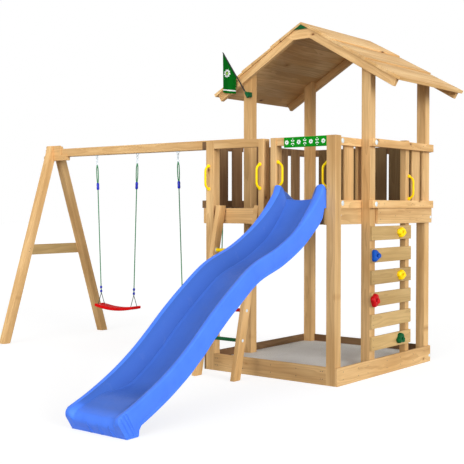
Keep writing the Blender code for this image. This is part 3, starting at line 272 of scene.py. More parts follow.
def sand_material():
    g = new_material("sand")
    at = g.where()
    level = g.speckle(at, 420.0)
    tint = g.mix(level, (0.80, 0.77, 0.70, 1), (1.0, 0.99, 0.95, 1))
    damp = g.ramp(g.noise(at, 3.0, 4.0), 0.45, 0.7, 0.0, 0.25)
    g.set(Base_Color=g.mix(damp, tint, (0.70, 0.67, 0.60, 1)))
    g.set(Roughness=g.ramp(level, 0.0, 1.0, 0.85, 1.0))
    g.bump(g.math("ADD", g.noise(at, 28.0, 5.0), g.times(level, 0.3)), 0.6, 0.006)
    return g.owner


def flag_material():
    """Woven green cloth with a plain printed sun: a disc, a ring and a light band near the hem."""
    g = new_material("flag_cloth")
    place = g.attribute("grain", "Vector")
    across, down, from_hem = g.node("SeparateXYZ", {0: place})
    x, y = g.math("SUBTRACT", across, 0.052), g.math("SUBTRACT", down, 0.205)
    radius = g.math("SQRT", g.math("ADD", g.times(x, x), g.times(y, y)))
    rays = g.times(g.math("SINE", g.times(g.math("ARCTAN2", y, x), 9.0)), 0.006)
    star = g.math("LESS_THAN", radius, g.math("ADD", rays, 0.036))
    ring = g.times(star, g.math("GREATER_THAN", radius, 0.021))
    disc = g.math("LESS_THAN", radius, 0.014)
    band = g.math("LESS_THAN", g.math("ABSOLUTE", g.math("SUBTRACT", from_hem, 0.028)), 0.006)
    warp, weft = (
        g.node("TexWave", {"Vector": place, "Scale": 240.0}, bands_direction=axis)["Fac"] for axis in "XY"
    )
    weave = g.times(g.math("ADD", warp, weft), 0.5)
    green = g.mix(weave, (0.0, 0.085, 0.004, 1), (0.002, 0.14, 0.010, 1))
    white = g.mix(weave, (0.72, 0.76, 0.72, 1), (0.88, 0.90, 0.88, 1))
    lime = g.mix(weave, (0.28, 0.48, 0.08, 1), (0.36, 0.58, 0.12, 1))
    tint = g.mix(disc, g.mix(ring, green, white), lime)
    g.set(Base_Color=g.mix(band, tint, white), Roughness=g.ramp(weave, 0.0, 1.0, 0.75, 0.9))
    g.set(Specular_IOR_Level=0.05)
    g.bump(weave, 0.3, 0.0003)
    return g.owner


make_camera()
KNOT, PLANK_KNOT = (0.15, 0.045, 0.015, 1), (0.13, 0.055, 0.02, 1)
KNOTS, FEW_KNOTS, PLANK_KNOTS = (5.2, 9.5, 0.0), (3.4, 7.5, 0.0), (2.2, 7.5, 0.0)
# The second and third pines are painted shade: the same pine made darker for boards in the tower's shade, the
# third darkest, for the back slats.
WOOD, PAINTED_SHADE_WOOD, PAINTED_DEEP_SHADE_WOOD, ROOF_WOOD, PLANK_WOOD = (
    wood_material(name, (*pale, 1), (*line, 1), (*warm, 1), knot, scale)
    for name, pale, line, warm, knot, scale in (
        ("pine", (0.90, 0.60, 0.285), (0.48, 0.25, 0.085), (0.74, 0.45, 0.185), KNOT, KNOTS),
        ("pine_painted_shade", (0.29, 0.175, 0.085), (0.12, 0.062, 0.025), (0.21, 0.105, 0.05), KNOT, FEW_KNOTS),
        ("pine_painted_deep_shade", (0.19, 0.12, 0.05), (0.08, 0.045, 0.016), (0.14, 0.08, 0.034), KNOT, FEW_KNOTS),
        ("pine_roof", (0.93, 0.65, 0.32), (0.50, 0.26, 0.09), (0.78, 0.47, 0.18), KNOT, FEW_KNOTS),
        ("pine_planks", (0.66, 0.45, 0.20), (0.40, 0.25, 0.09), (0.55, 0.36, 0.145), PLANK_KNOT, PLANK_KNOTS),
    )
)
# The slide's third colour is painted shade for the chute and the inner walls.
BLUE = plastic_material(
    "slide_blue", (0.078, 0.235, 0.97, 1), (0.068, 0.21, 0.90, 1), 0.42, 0.22, (0.043, 0.125, 0.49, 1)
)
YELLOW, RED, SEAT_RED, GREEN, HOLD_BLUE, DEEP_BLUE, BANNER_GREEN, BANNER_WHITE, BLACK, DARK_GREEN = (
    plastic_material(name, (*base, 1), (*shade, 1), roughness, specular)
    for name, base, shade, roughness, specular in (
        ("yellow_plastic", (1.0, 0.74, 0.0), (0.95, 0.60, 0.0), 0.4, 0.2),
        ("red_plastic", (0.62, 0.006, 0.012), (0.45, 0.003, 0.006), 0.4, 0.14),
        ("seat_red", (0.82, 0.004, 0.004), (0.66, 0.002, 0.003), 0.6, 0.08),
        ("green_plastic", (0.0, 0.095, 0.024), (0.0, 0.065, 0.014), 0.4, 0.14),
        ("blue_plastic", (0.003, 0.09, 0.48), (0.002, 0.055, 0.33), 0.4, 0.14),
        ("rope_fitting_blue", (0.006, 0.02, 0.55), (0.004, 0.012, 0.35), 0.3, 0.25),
        ("banner_green", (0.003, 0.28, 0.008), (0.002, 0.23, 0.006), 0.7, 0.08),
        ("banner_white", (0.88, 0.93, 0.88), (0.80, 0.87, 0.80), 0.6, 0.1),
        ("black_plastic", (0.018, 0.018, 0.020), (0.010, 0.010, 0.011), 0.42, 0.25),
        ("coated_wire", (0.006, 0.045, 0.022), (0.004, 0.03, 0.014), 0.4, 0.25),
    )
)
ZINC, SCREW = zinc_material(), dark_steel_material()
ROPE, SAND, FLAG = rope_material(), sand_material(), flag_material()


# Shapes


STRAND_PITCH = 0.05


class Shape:
    """Closed meshes that make one piece, with where the grain runs and a tone at each point."""

    def __init__(self):
        self.points, self.faces, self.grain, self.tone = [], [], [], []

    def add(self, points, faces, grain=None, tone=0.5):
        base = len(self.points)
        self.points += [tuple(point) for point in points]
        self.faces += [tuple(base + index for index in face) for face in faces]
        self.grain += [tuple(at) for at in (grain or points)]
        self.tone += [tone] * len(points)


def piece(name, shape, material, node=None, smooth=None, body="frame"):
    """One object of a shape, which rides on a body and may stand for a CAD node."""
    mesh = bpy.data.meshes.new(name)
    mesh.from_pydata(shape.points, [], shape.faces)
    grain = mesh.attributes.new("grain", "FLOAT_VECTOR", "POINT")
    grain.data.foreach_set("vector", [value for at in shape.grain for value in at])
    tone = mesh.attributes.new("tone", "FLOAT", "POINT")
    tone.data.foreach_set("value", shape.tone)
    if smooth:
        mesh.shade_smooth()
        mesh.set_sharp_from_angle(angle=math.radians(smooth))
    mesh.materials.append(material)
    thing = bpy.data.objects.new(name, mesh)
    bpy.context.scene.collection.objects.link(thing)
    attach(thing, body)
    if node:
        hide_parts(node)
    return thing


def add_timber(shape, work, direction, tone):
    """Adds a closed bmesh as a board whose grain runs in a direction, with its own pith and tone."""
    bmesh.ops.recalc_face_normals(work, faces=work.faces)
    along = Vector(direction).normalized()
    side = next(Vector(axis) for axis in AXES.values() if abs(Vector(axis).dot(along)) < 1e-6)
    other = along.cross(side)
    points = [vert.co.copy() for vert in work.verts]
    faces = [[vert.index for vert in face.verts] for face in work.faces]
    spans = [max(p.dot(a) for p in points) - min(p.dot(a) for p in points) for a in (side, other)]
    wide, thin = (side, other) if spans[0] >= spans[1] else (other, side)
    lows = [min(p.dot(a) for p in points) for a in (along, wide, thin)]
    start = RNG.uniform(0.0, 40.0)
    pith = RNG.uniform(-0.7, -0.1) * max(spans)
    depth = RNG.uniform(0.02, 0.09)
    grain = [
        (p.dot(along) - lows[0] + start, p.dot(wide) - lows[1] + pith, p.dot(thin) - lows[2] + depth)
        for p in points
    ]
    shape.add(points, faces, grain, RNG.uniform(0.15, 0.85) if tone is None else tone)
    work.free()


def prism(shape, outline, axis, start, end, direction, ease=0.003, tone=None):
    """A flat outline drawn out along X, Y or Z, with eased edges."""
    work = bmesh.new()
    rings = []
    for at in (start, end):
        places = [{"X": (at, a, b), "Y": (a, at, b), "Z": (a, b, at)}[axis] for a, b in outline]
        rings.append([work.verts.new(place) for place in places])
        work.faces.new(rings[-1])
    for index in range(len(outline)):
        after = (index + 1) % len(outline)
        work.faces.new((rings[0][index], rings[0][after], rings[1][after], rings[1][index]))
    bmesh.ops.recalc_face_normals(work, faces=work.faces)
    bmesh.ops.bevel(work, geom=work.edges[:], offset=ease, offset_type="OFFSET", segments=2,
                    profile=0.5, affect="EDGES", clamp_overlap=True)
    work.verts.index_update()
    add_timber(shape, work, direction, tone)


def board(shape, low, high, along, ease=0.003, tone=None):
    """A straight board between two corners."""
    outline = ((low[0], low[1]), (high[0], low[1]), (high[0], high[1]), (low[0], high[1]))
    prism(shape, outline, "Z", low[2], high[2], AXES[along], ease, tone)


def box_board(node, along, material):
    """A board in place of a straight CAD timber."""
    shape = Shape()
    board(shape, *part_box(node), along)
    piece(node + "_board", shape, material, node)


def angles(count):
    return [math.tau * k / count for k in range(count)]


def loft(shape, rings, grain=None, looped=False):
    """A skin over rings of points, with flat ends, or joined end to end."""
    rows, count = len(rings), len(rings[0])
    faces = []
    for row in range(rows if looped else rows - 1):
        a, b = row * count, (row + 1) % rows * count
        for index in range(count):
            after = (index + 1) % count
            faces.append((a + index, a + after, b + after, b + index))
    if not looped:
        faces.append(tuple(reversed(range(count))))
        faces.append(tuple(range((rows - 1) * count, rows * count)))
    shape.add([point for ring in rings for point in ring], faces, grain)


def frames_along(path):
    """At each point of a path: two directions across it, with no twist."""
    last = len(path) - 1
    tangents = [(path[min(i + 1, last)] - path[max(i - 1, 0)]).normalized() for i in range(last + 1)]
    side = Vector(AXES["Y"] if abs(tangents[0].y) < 0.9 else AXES["X"])
    side = (side - tangents[0] * side.dot(tangents[0])).normalized()
    found = []
    for tangent in tangents:
        side = (side - tangent * side.dot(tangent)).normalized()
        found.append((side, tangent.cross(side)))
    return found


def sweep(shape, path, radii, sides=14, flat=1.0, looped=False, strands=0):
    """A round bar along a path. With strands, its section is that of a twisted rope."""
    path = [Vector(point) for point in path]
    if not hasattr(radii, "__len__"):
        radii = [radii] * len(path)
    rings, grain = [], []
    run = 0.0
    for index, (place, radius, (side, other)) in enumerate(zip(path, radii, frames_along(path))):
        if index:
            run += (place - path[index - 1]).length
        ring = []
        for angle in angles(sides):
            size = radius
            if strands:
                size *= 0.90 + 0.10 * math.cos(strands * angle - math.tau * run / STRAND_PITCH * strands)
            ring.append(place + (side * math.cos(angle) + other * math.sin(angle) * flat) * size)
            grain.append((run * 60.0, angle * 6.0, 0.0))
        rings.append(ring)
    loft(shape, rings, grain, looped)


def smooth_path(points, each):
    """A smooth curve through some points, in a number of steps from each to the next."""
    points = [Vector(point) for point in points]
    last = len(points) - 1
    found = []
    for index in range(last):
        before, here, after = points[max(index - 1, 0)], points[index], points[index + 1]
        beyond = points[min(index + 2, last)]
        for step in range(each):
            t = step / each
            found.append(0.5 * (2 * here + (after - before) * t
                                + (2 * before - 5 * here + 4 * after - beyond) * t * t
                                + (3 * here - before - 3 * after + beyond) * t ** 3))
    return found + [points[-1]]


def turned(shape, base, axis, profile, sides=20):
    """A turned form: (distance, radius) pairs along an axis from a base point."""
    axis = Vector(axis).normalized()
    first = axis.cross(Vector(AXES["Z"] if abs(axis.z) < 0.9 else AXES["X"])).normalized()
    second = axis.cross(first)
    rings = []
    for distance, radius in profile:
        middle = Vector(base) + axis * distance
        rings.append([middle + (first * math.cos(a) + second * math.sin(a)) * radius for a in angles(sides)])
    loft(shape, rings)


DOME = ((0.0, 1.0), (0.35, 1.0), (0.75, 0.8), (0.95, 0.45), (1.0, 0.12))
SCREWS, BOLTS = Shape(), Shape()


def stud_head(shape, place, out, radius, height, sides=12):
    """A low round head on a face."""
    turned(shape, place, out, [(height * (share - 0.2), radius * size) for share, size in DOME], sides)


def screw(place, out, radius=0.0042):
    stud_head(SCREWS, place, out, radius, 0.0012, 8)


def bolt(place, out, radius=0.0165):
    stud_head(BOLTS, place, out, radius, 0.007, 20)
    turned(BOLTS, place, out, ((-0.001, radius * 1.35), (0.0012, radius * 1.35), (0.002, radius * 1.2)), 20)


# Swing ropes, made before the other pieces


ROPE_RADIUS, ROPE_SIDES, STRANDS = 0.006, 12, 3
LOOP_END, ADJUSTER_END, ROPE_START, ROPE_END = 1.767, 1.689, 1.58, 0.546
BEAD_HEIGHTS, EYE_RING_Z, EYE_RING_RADIUS, SWIVEL_Z = (0.612, 0.568), 2.036, 0.013, 2.022
HOOK_Z, HOOK_HALF_HEIGHT, HOOK_HALF_WIDTH = 1.9785, 0.0225, 0.0115
LOOP_SPREAD = ((1.958, 0.000), (1.945, 0.006), (1.925, 0.0105), (1.87, 0.012), (1.82, 0.011),
               (1.79, 0.008), (1.765, 0.005), (1.74, 0.002), (1.70, 0.0), (1.64, 0.0))
ADJUSTER = ((0.0, 0.007), (0.04, 0.0115), (0.12, 0.0135), (0.3, 0.0145), (0.5, 0.013), (0.7, 0.0145),
            (0.88, 0.0135), (0.96, 0.0115), (1.0, 0.007))
BEAD = ((0.015, 0.007), (0.0125, 0.0105), (0.006, 0.0125), (0.0, 0.013), (-0.006, 0.0125),
        (-0.0125, 0.0105), (-0.015, 0.007))
TRIANGLE_TOP, TRIANGLE_HALF, TRIANGLE_ROUND = 0.552, 0.052, 0.014


def seat_height(x):
    """The seat's top, at a distance from its middle."""
    return SEAT_LOW + SEAT_SAG * (2 * x / SEAT_LENGTH) ** 2


def make_rope(number, middle, side, sign):
    """One hanging rope: hook, spliced eye, adjuster, rope, beads and wire triangle."""
    tag = f"{number}_{side}"

    def at(z, across=0.0):
        """The point at a height on the line from the eye to the hanger."""
        top_x, end_x = middle + sign * HANGER_SPAN / 2, middle + sign * SEAT_SPAN / 2
        return Vector((top_x + (end_x - top_x) * (EYE_Z - z) / (EYE_Z - HANGER_Z) + across, BEAM_Y, z))

    def part(name, shape, material, node=None, smooth=60):
        return piece(f"{name}_{tag}", shape, material, node, smooth, f"swing_{number}")

    lower = [at(ROPE_START + (ROPE_END - ROPE_START) * index / 14) for index in range(15)]
    path = smooth_path([at(z, -spread) for z, spread in LOOP_SPREAD] + lower, 12)
    rope = Shape()
    sweep(rope, path, ROPE_RADIUS, ROPE_SIDES, strands=STRANDS)
    cord = part("rope", rope, ROPE, "swing_rope_" + tag)

    second = Shape()
    bight = [at(1.948, -0.005), at(1.9605, -0.0025), at(1.9635, 0.0), at(1.9605, 0.0025)]
    tail = bight + [at(z, spread) for z, spread in LOOP_SPREAD[1:8]]
    sweep(second, smooth_path(tail, 10), ROPE_RADIUS, ROPE_SIDES, strands=STRANDS)
    eye = part("rope_eye", second, ROPE)

    fitting = Shape()
    length = LOOP_END - ADJUSTER_END
    adjuster = [at(LOOP_END - length * share) for share, _ in ADJUSTER]
    sweep(fitting, adjuster, [size for _, size in ADJUSTER], 18, flat=1.15)
    for height in BEAD_HEIGHTS:
        sweep(fitting, [at(height + up) for up, _ in BEAD], [size for _, size in BEAD], 18)
    blue = part("rope_fittings", fitting, DEEP_BLUE, smooth=50)

    hook = Shape()
    ring = [at(EYE_RING_Z) + Vector((0, math.cos(a) * EYE_RING_RADIUS, math.sin(a) * EYE_RING_RADIUS))
            for a in angles(20)]
    sweep(hook, ring, 0.0032, 8, looped=True)
    swivel = ((0, 0.004), (0.002, 0.0075), (0.012, 0.0085), (0.02, 0.0075), (0.022, 0.004))
    turned(hook, at(SWIVEL_Z), (0, 0, -1), swivel, 14)
    oval = [at(HOOK_Z + HOOK_HALF_HEIGHT * math.sin(a), HOOK_HALF_WIDTH * math.cos(a)) for a in angles(32)]
    sweep(hook, oval, 0.0034, 8, looped=True)
    metal = part("rope_hook", hook, ZINC)

    wire = Shape()
    x = middle + sign * SEAT_SPAN / 2
    low = seat_height(SEAT_SPAN / 2) - SEAT_THICKNESS / 2
    corners = [Vector((x, BEAM_Y, TRIANGLE_TOP)), Vector((x, BEAM_Y - TRIANGLE_HALF, low)),
               Vector((x, BEAM_Y + TRIANGLE_HALF, low))]
    outline = []
    for index, corner in enumerate(corners):
        start = corner + (corners[index - 1] - corner).normalized() * TRIANGLE_ROUND
        end = corner + (corners[(index + 1) % 3] - corner).normalized() * TRIANGLE_ROUND
        outline += [start.lerp(corner, t / 4).lerp(corner.lerp(end, t / 4), t / 4) for t in range(5)]
    sweep(wire, outline, 0.0036, 8, looped=True)
    triangle = part("hanger_wire", wire, DARK_GREEN)


for number, middle in enumerate(SWING_MIDDLES, 1):
    make_rope(number, middle, "left", -1)
    make_rope(number, middle, "right", 1)


# Tower timbers


LEFT_SLAT, LEFT_SLAT_GAP, LEFT_SLAT_THICKNESS = 0.152, 0.065, 0.013
BACK_SLAT, BACK_SLAT_GAP = 0.138, 0.028
RIGHT_SLAT, RIGHT_SLAT_GAP, SLAT_THICKNESS = 0.152, 0.058, 0.02
SLAT_LOW, SLAT_HIGH, LEAST_SLAT, LEAST_DECK_BOARD = DECK_TOP + 0.008, RAIL_TOP - 0.006, 0.03, 0.035
DECK_BOARD, DECK_PITCH, DECK_THICKNESS, BEARER = 0.14, 0.148, 0.022, 0.045


def roof_underside(x):
    return RIDGE_TOP - ROOF_BOARD / math.cos(ROOF_SLOPE) - abs(x - RIDGE_X) * ROOF_FALL


def slat_row(start, end, width, gap):
    """Where each slat of a row starts and ends."""
    row = []
    while end - start > LEAST_SLAT:
        row.append((start, min(start + width, end)))
        start += width + gap
    return row


def make_plain_boards():
    for node, along in (
        ("post_front_left", "Z"), ("post_ladder", "Z"), ("post_slide", "Z"), ("post_front_right", "Z"),
        ("joist_front", "X"), ("joist_right", "Y"), ("joist_left", "Y"), ("joist_back", "X"),
        ("rail_over_ladder", "X"), ("rail_over_slide", "X"), ("sandbox_board_front", "X"),
        ("sandbox_board_right", "Y"),
    ):
        box_board(node, along, WOOD)
    # The back and left sandbox boards are the same pine with painted shade.
    box_board("sandbox_board_back", "X", PAINTED_SHADE_WOOD)
    box_board("sandbox_board_left", "Y", PAINTED_SHADE_WOOD)
    for side, left in (("left", LEFT), ("right", RIGHT - POST)):
        tops = [roof_underside(x) - GAP for x in (left, left + POST)]
        outline = ((left, 0.0), (left + POST, 0.0), (left + POST, tops[1]), (left, tops[0]))
        for place, front in (("front", ROOF_POST_FRONT), ("back", BACK_POST_FRONT)):
            shape = Shape()
            prism(shape, outline, "Y", front, front + POST, UP)
            node = f"roof_post_{place}_{side}"
            piece(node + "_board", shape, WOOD, node)


def make_deck():
    """Deck boards, notched round the left posts, on three bearers."""
    left, right = LEFT + GAP, RIGHT - POST - JOIST_THICKNESS - 2 * GAP
    front, back = JOIST_BACK + GAP, BACK - GAP
    inner = LEFT + POST + CLEAR
    near, far = ROOF_POST_FRONT - CLEAR, ROOF_POST_FRONT + POST + CLEAR
    low = DECK_TOP - DECK_THICKNESS
    shape = Shape()
    at = left
    while right - at > LEAST_DECK_BOARD:
        end = min(at + DECK_BOARD, right)
        spans = [(at, front, back)]
        if at < LEFT + POST:
            spans = [(at, front, near), (at, far, BACK_POST_FRONT - CLEAR), (inner, near, far),
                     (inner, BACK_POST_FRONT - CLEAR, back)]
        for start_x, start_y, end_y in spans:
            board(shape, (start_x, start_y, low), (end, end_y, DECK_TOP), "Y")
        at += DECK_PITCH
    for share in (0.12, 0.5, 0.88):
        middle = front + (back - front) * share
        board(shape, (left + POST, middle - BEARER / 2, low - BEARER), (right, middle + BEARER / 2, low), "X")
    # The deck boards and bearers are pine with painted shade.
    piece("deck_boards", shape, PAINTED_SHADE_WOOD, "deck")


def make_railing(node, along, rails, slats, wood, slat_wood):
    """A railing as two pieces. Rails are given by their corners and tone, slats by low and high X and Y."""
    shape = Shape()
    for low, high, tone in rails:
        board(shape, low, high, along, tone=tone)
    piece(node + "_rails", shape, wood, node)
    shape = Shape()
    for low, high in slats:
        board(shape, (*low, SLAT_LOW), (*high, SLAT_HIGH), "Z")
    piece(node + "_slats", shape, slat_wood)


def screw_slats(row, out, place):
    """Screws through each slat into both rails, where place turns a distance and a height into a point."""
    for start, end in row:
        for share in (0.2, 0.8):
            for rail in (TOP_RAIL, LOWER_RAIL):
                screw(place(start + (end - start) * share, rail[0] + RAIL_HEIGHT / 2), out)


def make_left_railing():
    outer = LEFT - GAP
    spans = (
        (FRONT, BACK, LOWER_RAIL),
        (FRONT, BEAM_Y - BEAM / 2 - CLEAR, TOP_RAIL),
        (BEAM_Y + BEAM / 2 + CLEAR, BACK, TOP_RAIL),
    )
    rails = [((outer - RAIL_THICKNESS, start, low), (outer, end, high), None)
             for start, end, (low, high) in spans]
    rear_start = ROOF_POST_FRONT + POST + CLEAR + 0.0535
    row = slat_row(FRONT + 0.1615, ROOF_POST_FRONT - CLEAR, LEFT_SLAT, LEFT_SLAT_GAP)
    row += slat_row(rear_start, BACK_POST_FRONT - CLEAR, LEFT_SLAT, LEFT_SLAT_GAP)
    face = outer + LEFT_SLAT_THICKNESS
    slats = [((outer, start), (face, end)) for start, end in row]
    # Rails and slats of the left railing are pine with painted shade.
    make_railing("railing_left", "Y", rails, slats, PAINTED_SHADE_WOOD, PAINTED_SHADE_WOOD)
    screw_slats(row, OUT_RIGHT, lambda y, z: (face, y, z))


def make_back_railing():
    outer = BACK + GAP
    rails = [((LEFT, outer, low), (RIGHT, outer + RAIL_THICKNESS, high), None)
             for low, high in (LOWER_RAIL, TOP_RAIL)]
    row = slat_row(LEFT + POST + 0.046, RIGHT - POST - CLEAR, BACK_SLAT, BACK_SLAT_GAP)
    face = outer - SLAT_THICKNESS
    slats = [((start, face), (end, outer)) for start, end in row]
    # The back rails are pine with painted shade, the back slats with deeper painted shade.
    make_railing("railing_back", "X", rails, slats, PAINTED_SHADE_WOOD, PAINTED_DEEP_SHADE_WOOD)
    screw_slats(row, OUT_FRONT, lambda x, z: (x, face, z))


def make_right_railings():
    outer = RIGHT - POST - GAP
    inner = outer - RAIL_THICKNESS
    rail_back = ROOF_POST_FRONT + POST
    rails = [((inner, start, low), (outer, rail_back, high), 0.8)
             for start, (low, high) in ((JOIST_BACK + CLEAR, LOWER_RAIL), (FRONT + 0.0123, TOP_RAIL))]
    slats = [((inner - SLAT_THICKNESS, start), (inner, end))
             for start, end in slat_row(FRONT + 0.152, rail_back, RIGHT_SLAT, RIGHT_SLAT_GAP)]
    make_railing("railing_right_front", "Y", rails, slats, WOOD, WOOD)
    for y, z in ((0.213, 2.068), (0.215, 1.533), (0.168, 1.429)):
        bolt((outer, y, z), OUT_RIGHT)

    inner = RIGHT + GAP
    face, ledger_face = inner + RAIL_THICKNESS, inner + JOIST_THICKNESS
    rails = [((inner, ROOF_POST_FRONT - 0.025, low), (face, BACK, high), 0.75)
             for low, high in (LOWER_RAIL, TOP_RAIL)]
    rails.append(((inner, rail_back, JOIST_BOTTOM), (ledger_face, BACK, LOWER_RAIL[0]), 0.35))
    row = slat_row(STUD_FRONT + STUD_WIDTH + 0.058, BACK_POST_FRONT - CLEAR, RIGHT_SLAT, RIGHT_SLAT_GAP)
    slats = [((inner - SLAT_THICKNESS, start), (inner, end)) for start, end in row]
    make_railing("railing_right_rear", "Y", rails, slats, WOOD, WOOD)
    for z in (2.066, 1.526):
        bolt((face, 0.553, z), OUT_RIGHT)
        for y in (0.60, 0.70, 1.20, 1.23, 1.38, 1.44, 1.60):
            screw((face, y, z + RNG.uniform(-0.012, 0.012)), OUT_RIGHT)
    for y, z in ((0.66, 1.39), (0.66, 1.45), (0.93, 1.42), (1.21, 1.39), (1.21, 1.45), (1.47, 1.42)):
        screw((ledger_face, y, z), OUT_RIGHT)
    bolt((ledger_face, 1.630, 1.403), OUT_RIGHT, 0.011)
    bolt((inner + PLANK_THICKNESS, 1.635, 0.060), OUT_RIGHT, 0.011)


def plank_middle(index):
    return JOIST_BOTTOM - FIRST_PLANK_DOWN - index * PLANK_PITCH - PLANK_HEIGHT / 2


def make_climbing_wall():
    stud, planks = Shape(), Shape()
    stud_back = STUD_FRONT + STUD_WIDTH
    board(stud, (RIGHT - STUD_DEPTH, STUD_FRONT, 0.0), (RIGHT, stud_back, RAIL_TOP + 0.02), "Z")
    inner, face = RIGHT + GAP, RIGHT + GAP + PLANK_THICKNESS
    for index in range(PLANK_COUNT):
        middle = plank_middle(index)
        low, high = middle - PLANK_HEIGHT / 2, middle + PLANK_HEIGHT / 2
        board(planks, (inner, ROOF_POST_FRONT, low), (face, stud_back, high), "Y")
        for y in (ROOF_POST_FRONT + 0.03, stud_back - 0.02):
            for up in (-0.032, 0.032):
                screw((face, y, middle + up), OUT_RIGHT, 0.0036)
    piece("climbing_stud", stud, WOOD, "climbing_wall")
    piece("climbing_planks", planks, PLANK_WOOD)


def make_roof_slope(side, sign):
    """Lapped boards down one side, in steps of three, with screws over both trusses."""
    along = Vector((math.cos(ROOF_SLOPE), -math.sin(ROOF_SLOPE)))
    up = Vector((math.sin(ROOF_SLOPE), math.cos(ROOF_SLOPE)))
    step = ROOF_HALF_SPAN / math.cos(ROOF_SLOPE) / ROOF_BOARDS
    shape = Shape()
    for index in range(ROOF_BOARDS):
        start, end = index * step, (index + 1) * step
        rise = [ROOF_LAP * (index % 3 + k) / 3 for k in (0, 1)]
        flat = [along * start + up * rise[0], along * end + up * rise[1],
                along * end - up * ROOF_BOARD, along * start - up * ROOF_BOARD]
        if index == 0:
            flat[0] = Vector((0.0, 0.0))
            flat[3] = Vector((0.0, -ROOF_BOARD / math.cos(ROOF_SLOPE)))
        outline = [(RIDGE_X + sign * (p.x + GAP), RIDGE_TOP + p.y) for p in flat]
        prism(shape, outline, "Y", ROOF_FRONT, ROOF_BACK, AXES["Y"], 0.0022)
        for y in (ROOF_POST_FRONT - 0.023, BACK + 0.023):
            for share in (0.25, 0.75):
                p = along * (start + step * share) + up * (rise[0] + (rise[1] - rise[0]) * share)
                place = (RIDGE_X + sign * (p.x + GAP), y, RIDGE_TOP + p.y)
                screw(place, (sign * up.x, 0, up.y), 0.0035)
    piece(f"roof_boards_{side}", shape, ROOF_WOOD, f"roof_slope_{side}")


def make_trusses():
    depth = RAFTER_DEPTH / math.cos(ROOF_SLOPE)
    top = roof_underside(RIDGE_X) - GAP
    reach = ROOF_HALF_SPAN - RAFTER_SHORT
    end_top = top - reach * ROOF_FALL
    end_low = (reach - RAFTER_DEPTH * math.sin(ROOF_SLOPE), end_top - RAFTER_DEPTH * math.cos(ROOF_SLOPE))
    half = ((0.0, top), (reach, end_top), end_low, (0.0, top - depth))
    narrow, wide = ((top - down - COLLAR_BOTTOM) / ROOF_FALL for down in (depth, 0.035))
    collar = [(RIDGE_X + x, z) for x, z in (
        (-narrow, COLLAR_BOTTOM), (narrow, COLLAR_BOTTOM), (wide, COLLAR_BOTTOM + 0.028),
        (0.052, top - 0.040), (-0.052, top - 0.040), (-wide, COLLAR_BOTTOM + 0.028),
    )]
    for place, start in (("front", ROOF_POST_FRONT - GAP - RAFTER_THICKNESS), ("back", BACK + GAP)):
        shape = Shape()
        for sign in (-1, 1):
            outline = [(RIDGE_X + sign * x, z) for x, z in half]
            prism(shape, outline, "Y", start, start + RAFTER_THICKNESS, (sign, 0, -ROOF_FALL), tone=0.6)
        face = start - 0.0005 if place == "front" else start + RAFTER_THICKNESS - 0.02
        prism(shape, collar, "Y", face, face + 0.0205, AXES["X"], tone=0.95)
        piece(f"roof_truss_{place}_boards", shape, WOOD, f"roof_truss_{place}")
    cap = Shape()
    peak, half_cap = RIDGE_TOP - ROOF_BOARD / math.cos(ROOF_SLOPE) - 0.001, 0.072
    low = peak - half_cap * ROOF_FALL
    outline = ((RIDGE_X, peak), (RIDGE_X + half_cap, low), (RIDGE_X - half_cap, low))
    prism(cap, outline, "Y", ROOF_FRONT + 0.001, ROOF_POST_FRONT - 0.044, AXES["X"], 0.002)
    piece("ridge_cap", cap, GREEN)


make_plain_boards()
make_deck()
make_left_railing()
make_back_railing()
make_right_railings()
make_climbing_wall()
make_roof_slope("left", -1)
make_roof_slope("right", 1)
make_trusses()


# Slide


SLIDE_ACROSS = (
    (0.06, 0.012), (0.14, 0.038), (0.22, 0.078), (0.30, 0.13), (0.40, 0.22), (0.52, 0.36), (0.65, 0.525),
    (0.78, 0.70), (0.89, 0.86), (0.95, 0.945), (0.985, 0.970), (1.01, 0.962), (1.035, 0.940),
    (1.07, 0.932), (1.12, 0.950), (1.25, 0.980),
)
FLOOR_COLUMNS = 34
SHELL, RIM_WIDTH, HORN_WIDTH, END_DEPTH, END_ROUNDING, END_LEAN = 0.008, 0.034, 0.066, 0.034, 0.045, 0.07
FOOT_SHARE, END_START = 1 - 0.185 / SLIDE_RUN, 0.78
TOP_DEPTH, CHUTE_DEPTH, SIDE_HEIGHT, CHUTE_FLOOR, FLOOR_WIDENING = 0.128, 0.115, 0.15, 0.125, 0.06
HORN_LIP, POST_RIM_DOWN = 0.13, 0.453
SIDE_STEPS = ((0.0, 0.0, 0.0), (0.0, 0.018, 0.15), (0.0025, 0.021, 0.18), (0.0025, 0.026, 0.21),
              (0.001, 0.030, 0.24))
RIM_EDGE = ((0.002, 0.016), (0.0035, 0.009), (0.0075, 0.0035), (0.013, 0.0008), (0.020, 0.0),
            (0.028, 0.0015), (0.034, 0.004))
HORN_EDGE = ((0.0015, 0.030), (0.004, 0.015), (0.011, 0.005), (0.022, 0.0008), (0.036, 0.0),
             (0.052, 0.0018), (0.066, 0.008))
UNDER_EDGE = ((0.002, 0.020), (0.003, 0.016), (0.005, 0.0125), (0.008, 0.0105), (0.012, 0.0095),
              (0.018, 0.0105), (0.023, 0.013))
SIDE_POINTS, EDGE_POINTS = len(SIDE_STEPS), len(RIM_EDGE)
OVER_COUNT = 2 * (SIDE_POINTS + EDGE_POINTS + len(SLIDE_ACROSS) + FLOOR_COLUMNS) - 1
RIB_MIDDLES, RIB_LEAN, RIB_TIP, RIB_FOOT = (-0.070, 0.034, 0.138), 0.006, 0.002, 0.0125
FLAT_ROWS, ARC_ROWS, DOWN_ROWS = 30, 14, 16
GROOVE_ROWS, GROOVE_DEPTH = (23, 28, 34), 0.0045
ROLL_RADIUS, ROLL_RECESS = 0.052, 0.020


def eased_step(share):
    share = min(max(share, 0.0), 1.0)
    return share * share * (3 - 2 * share)


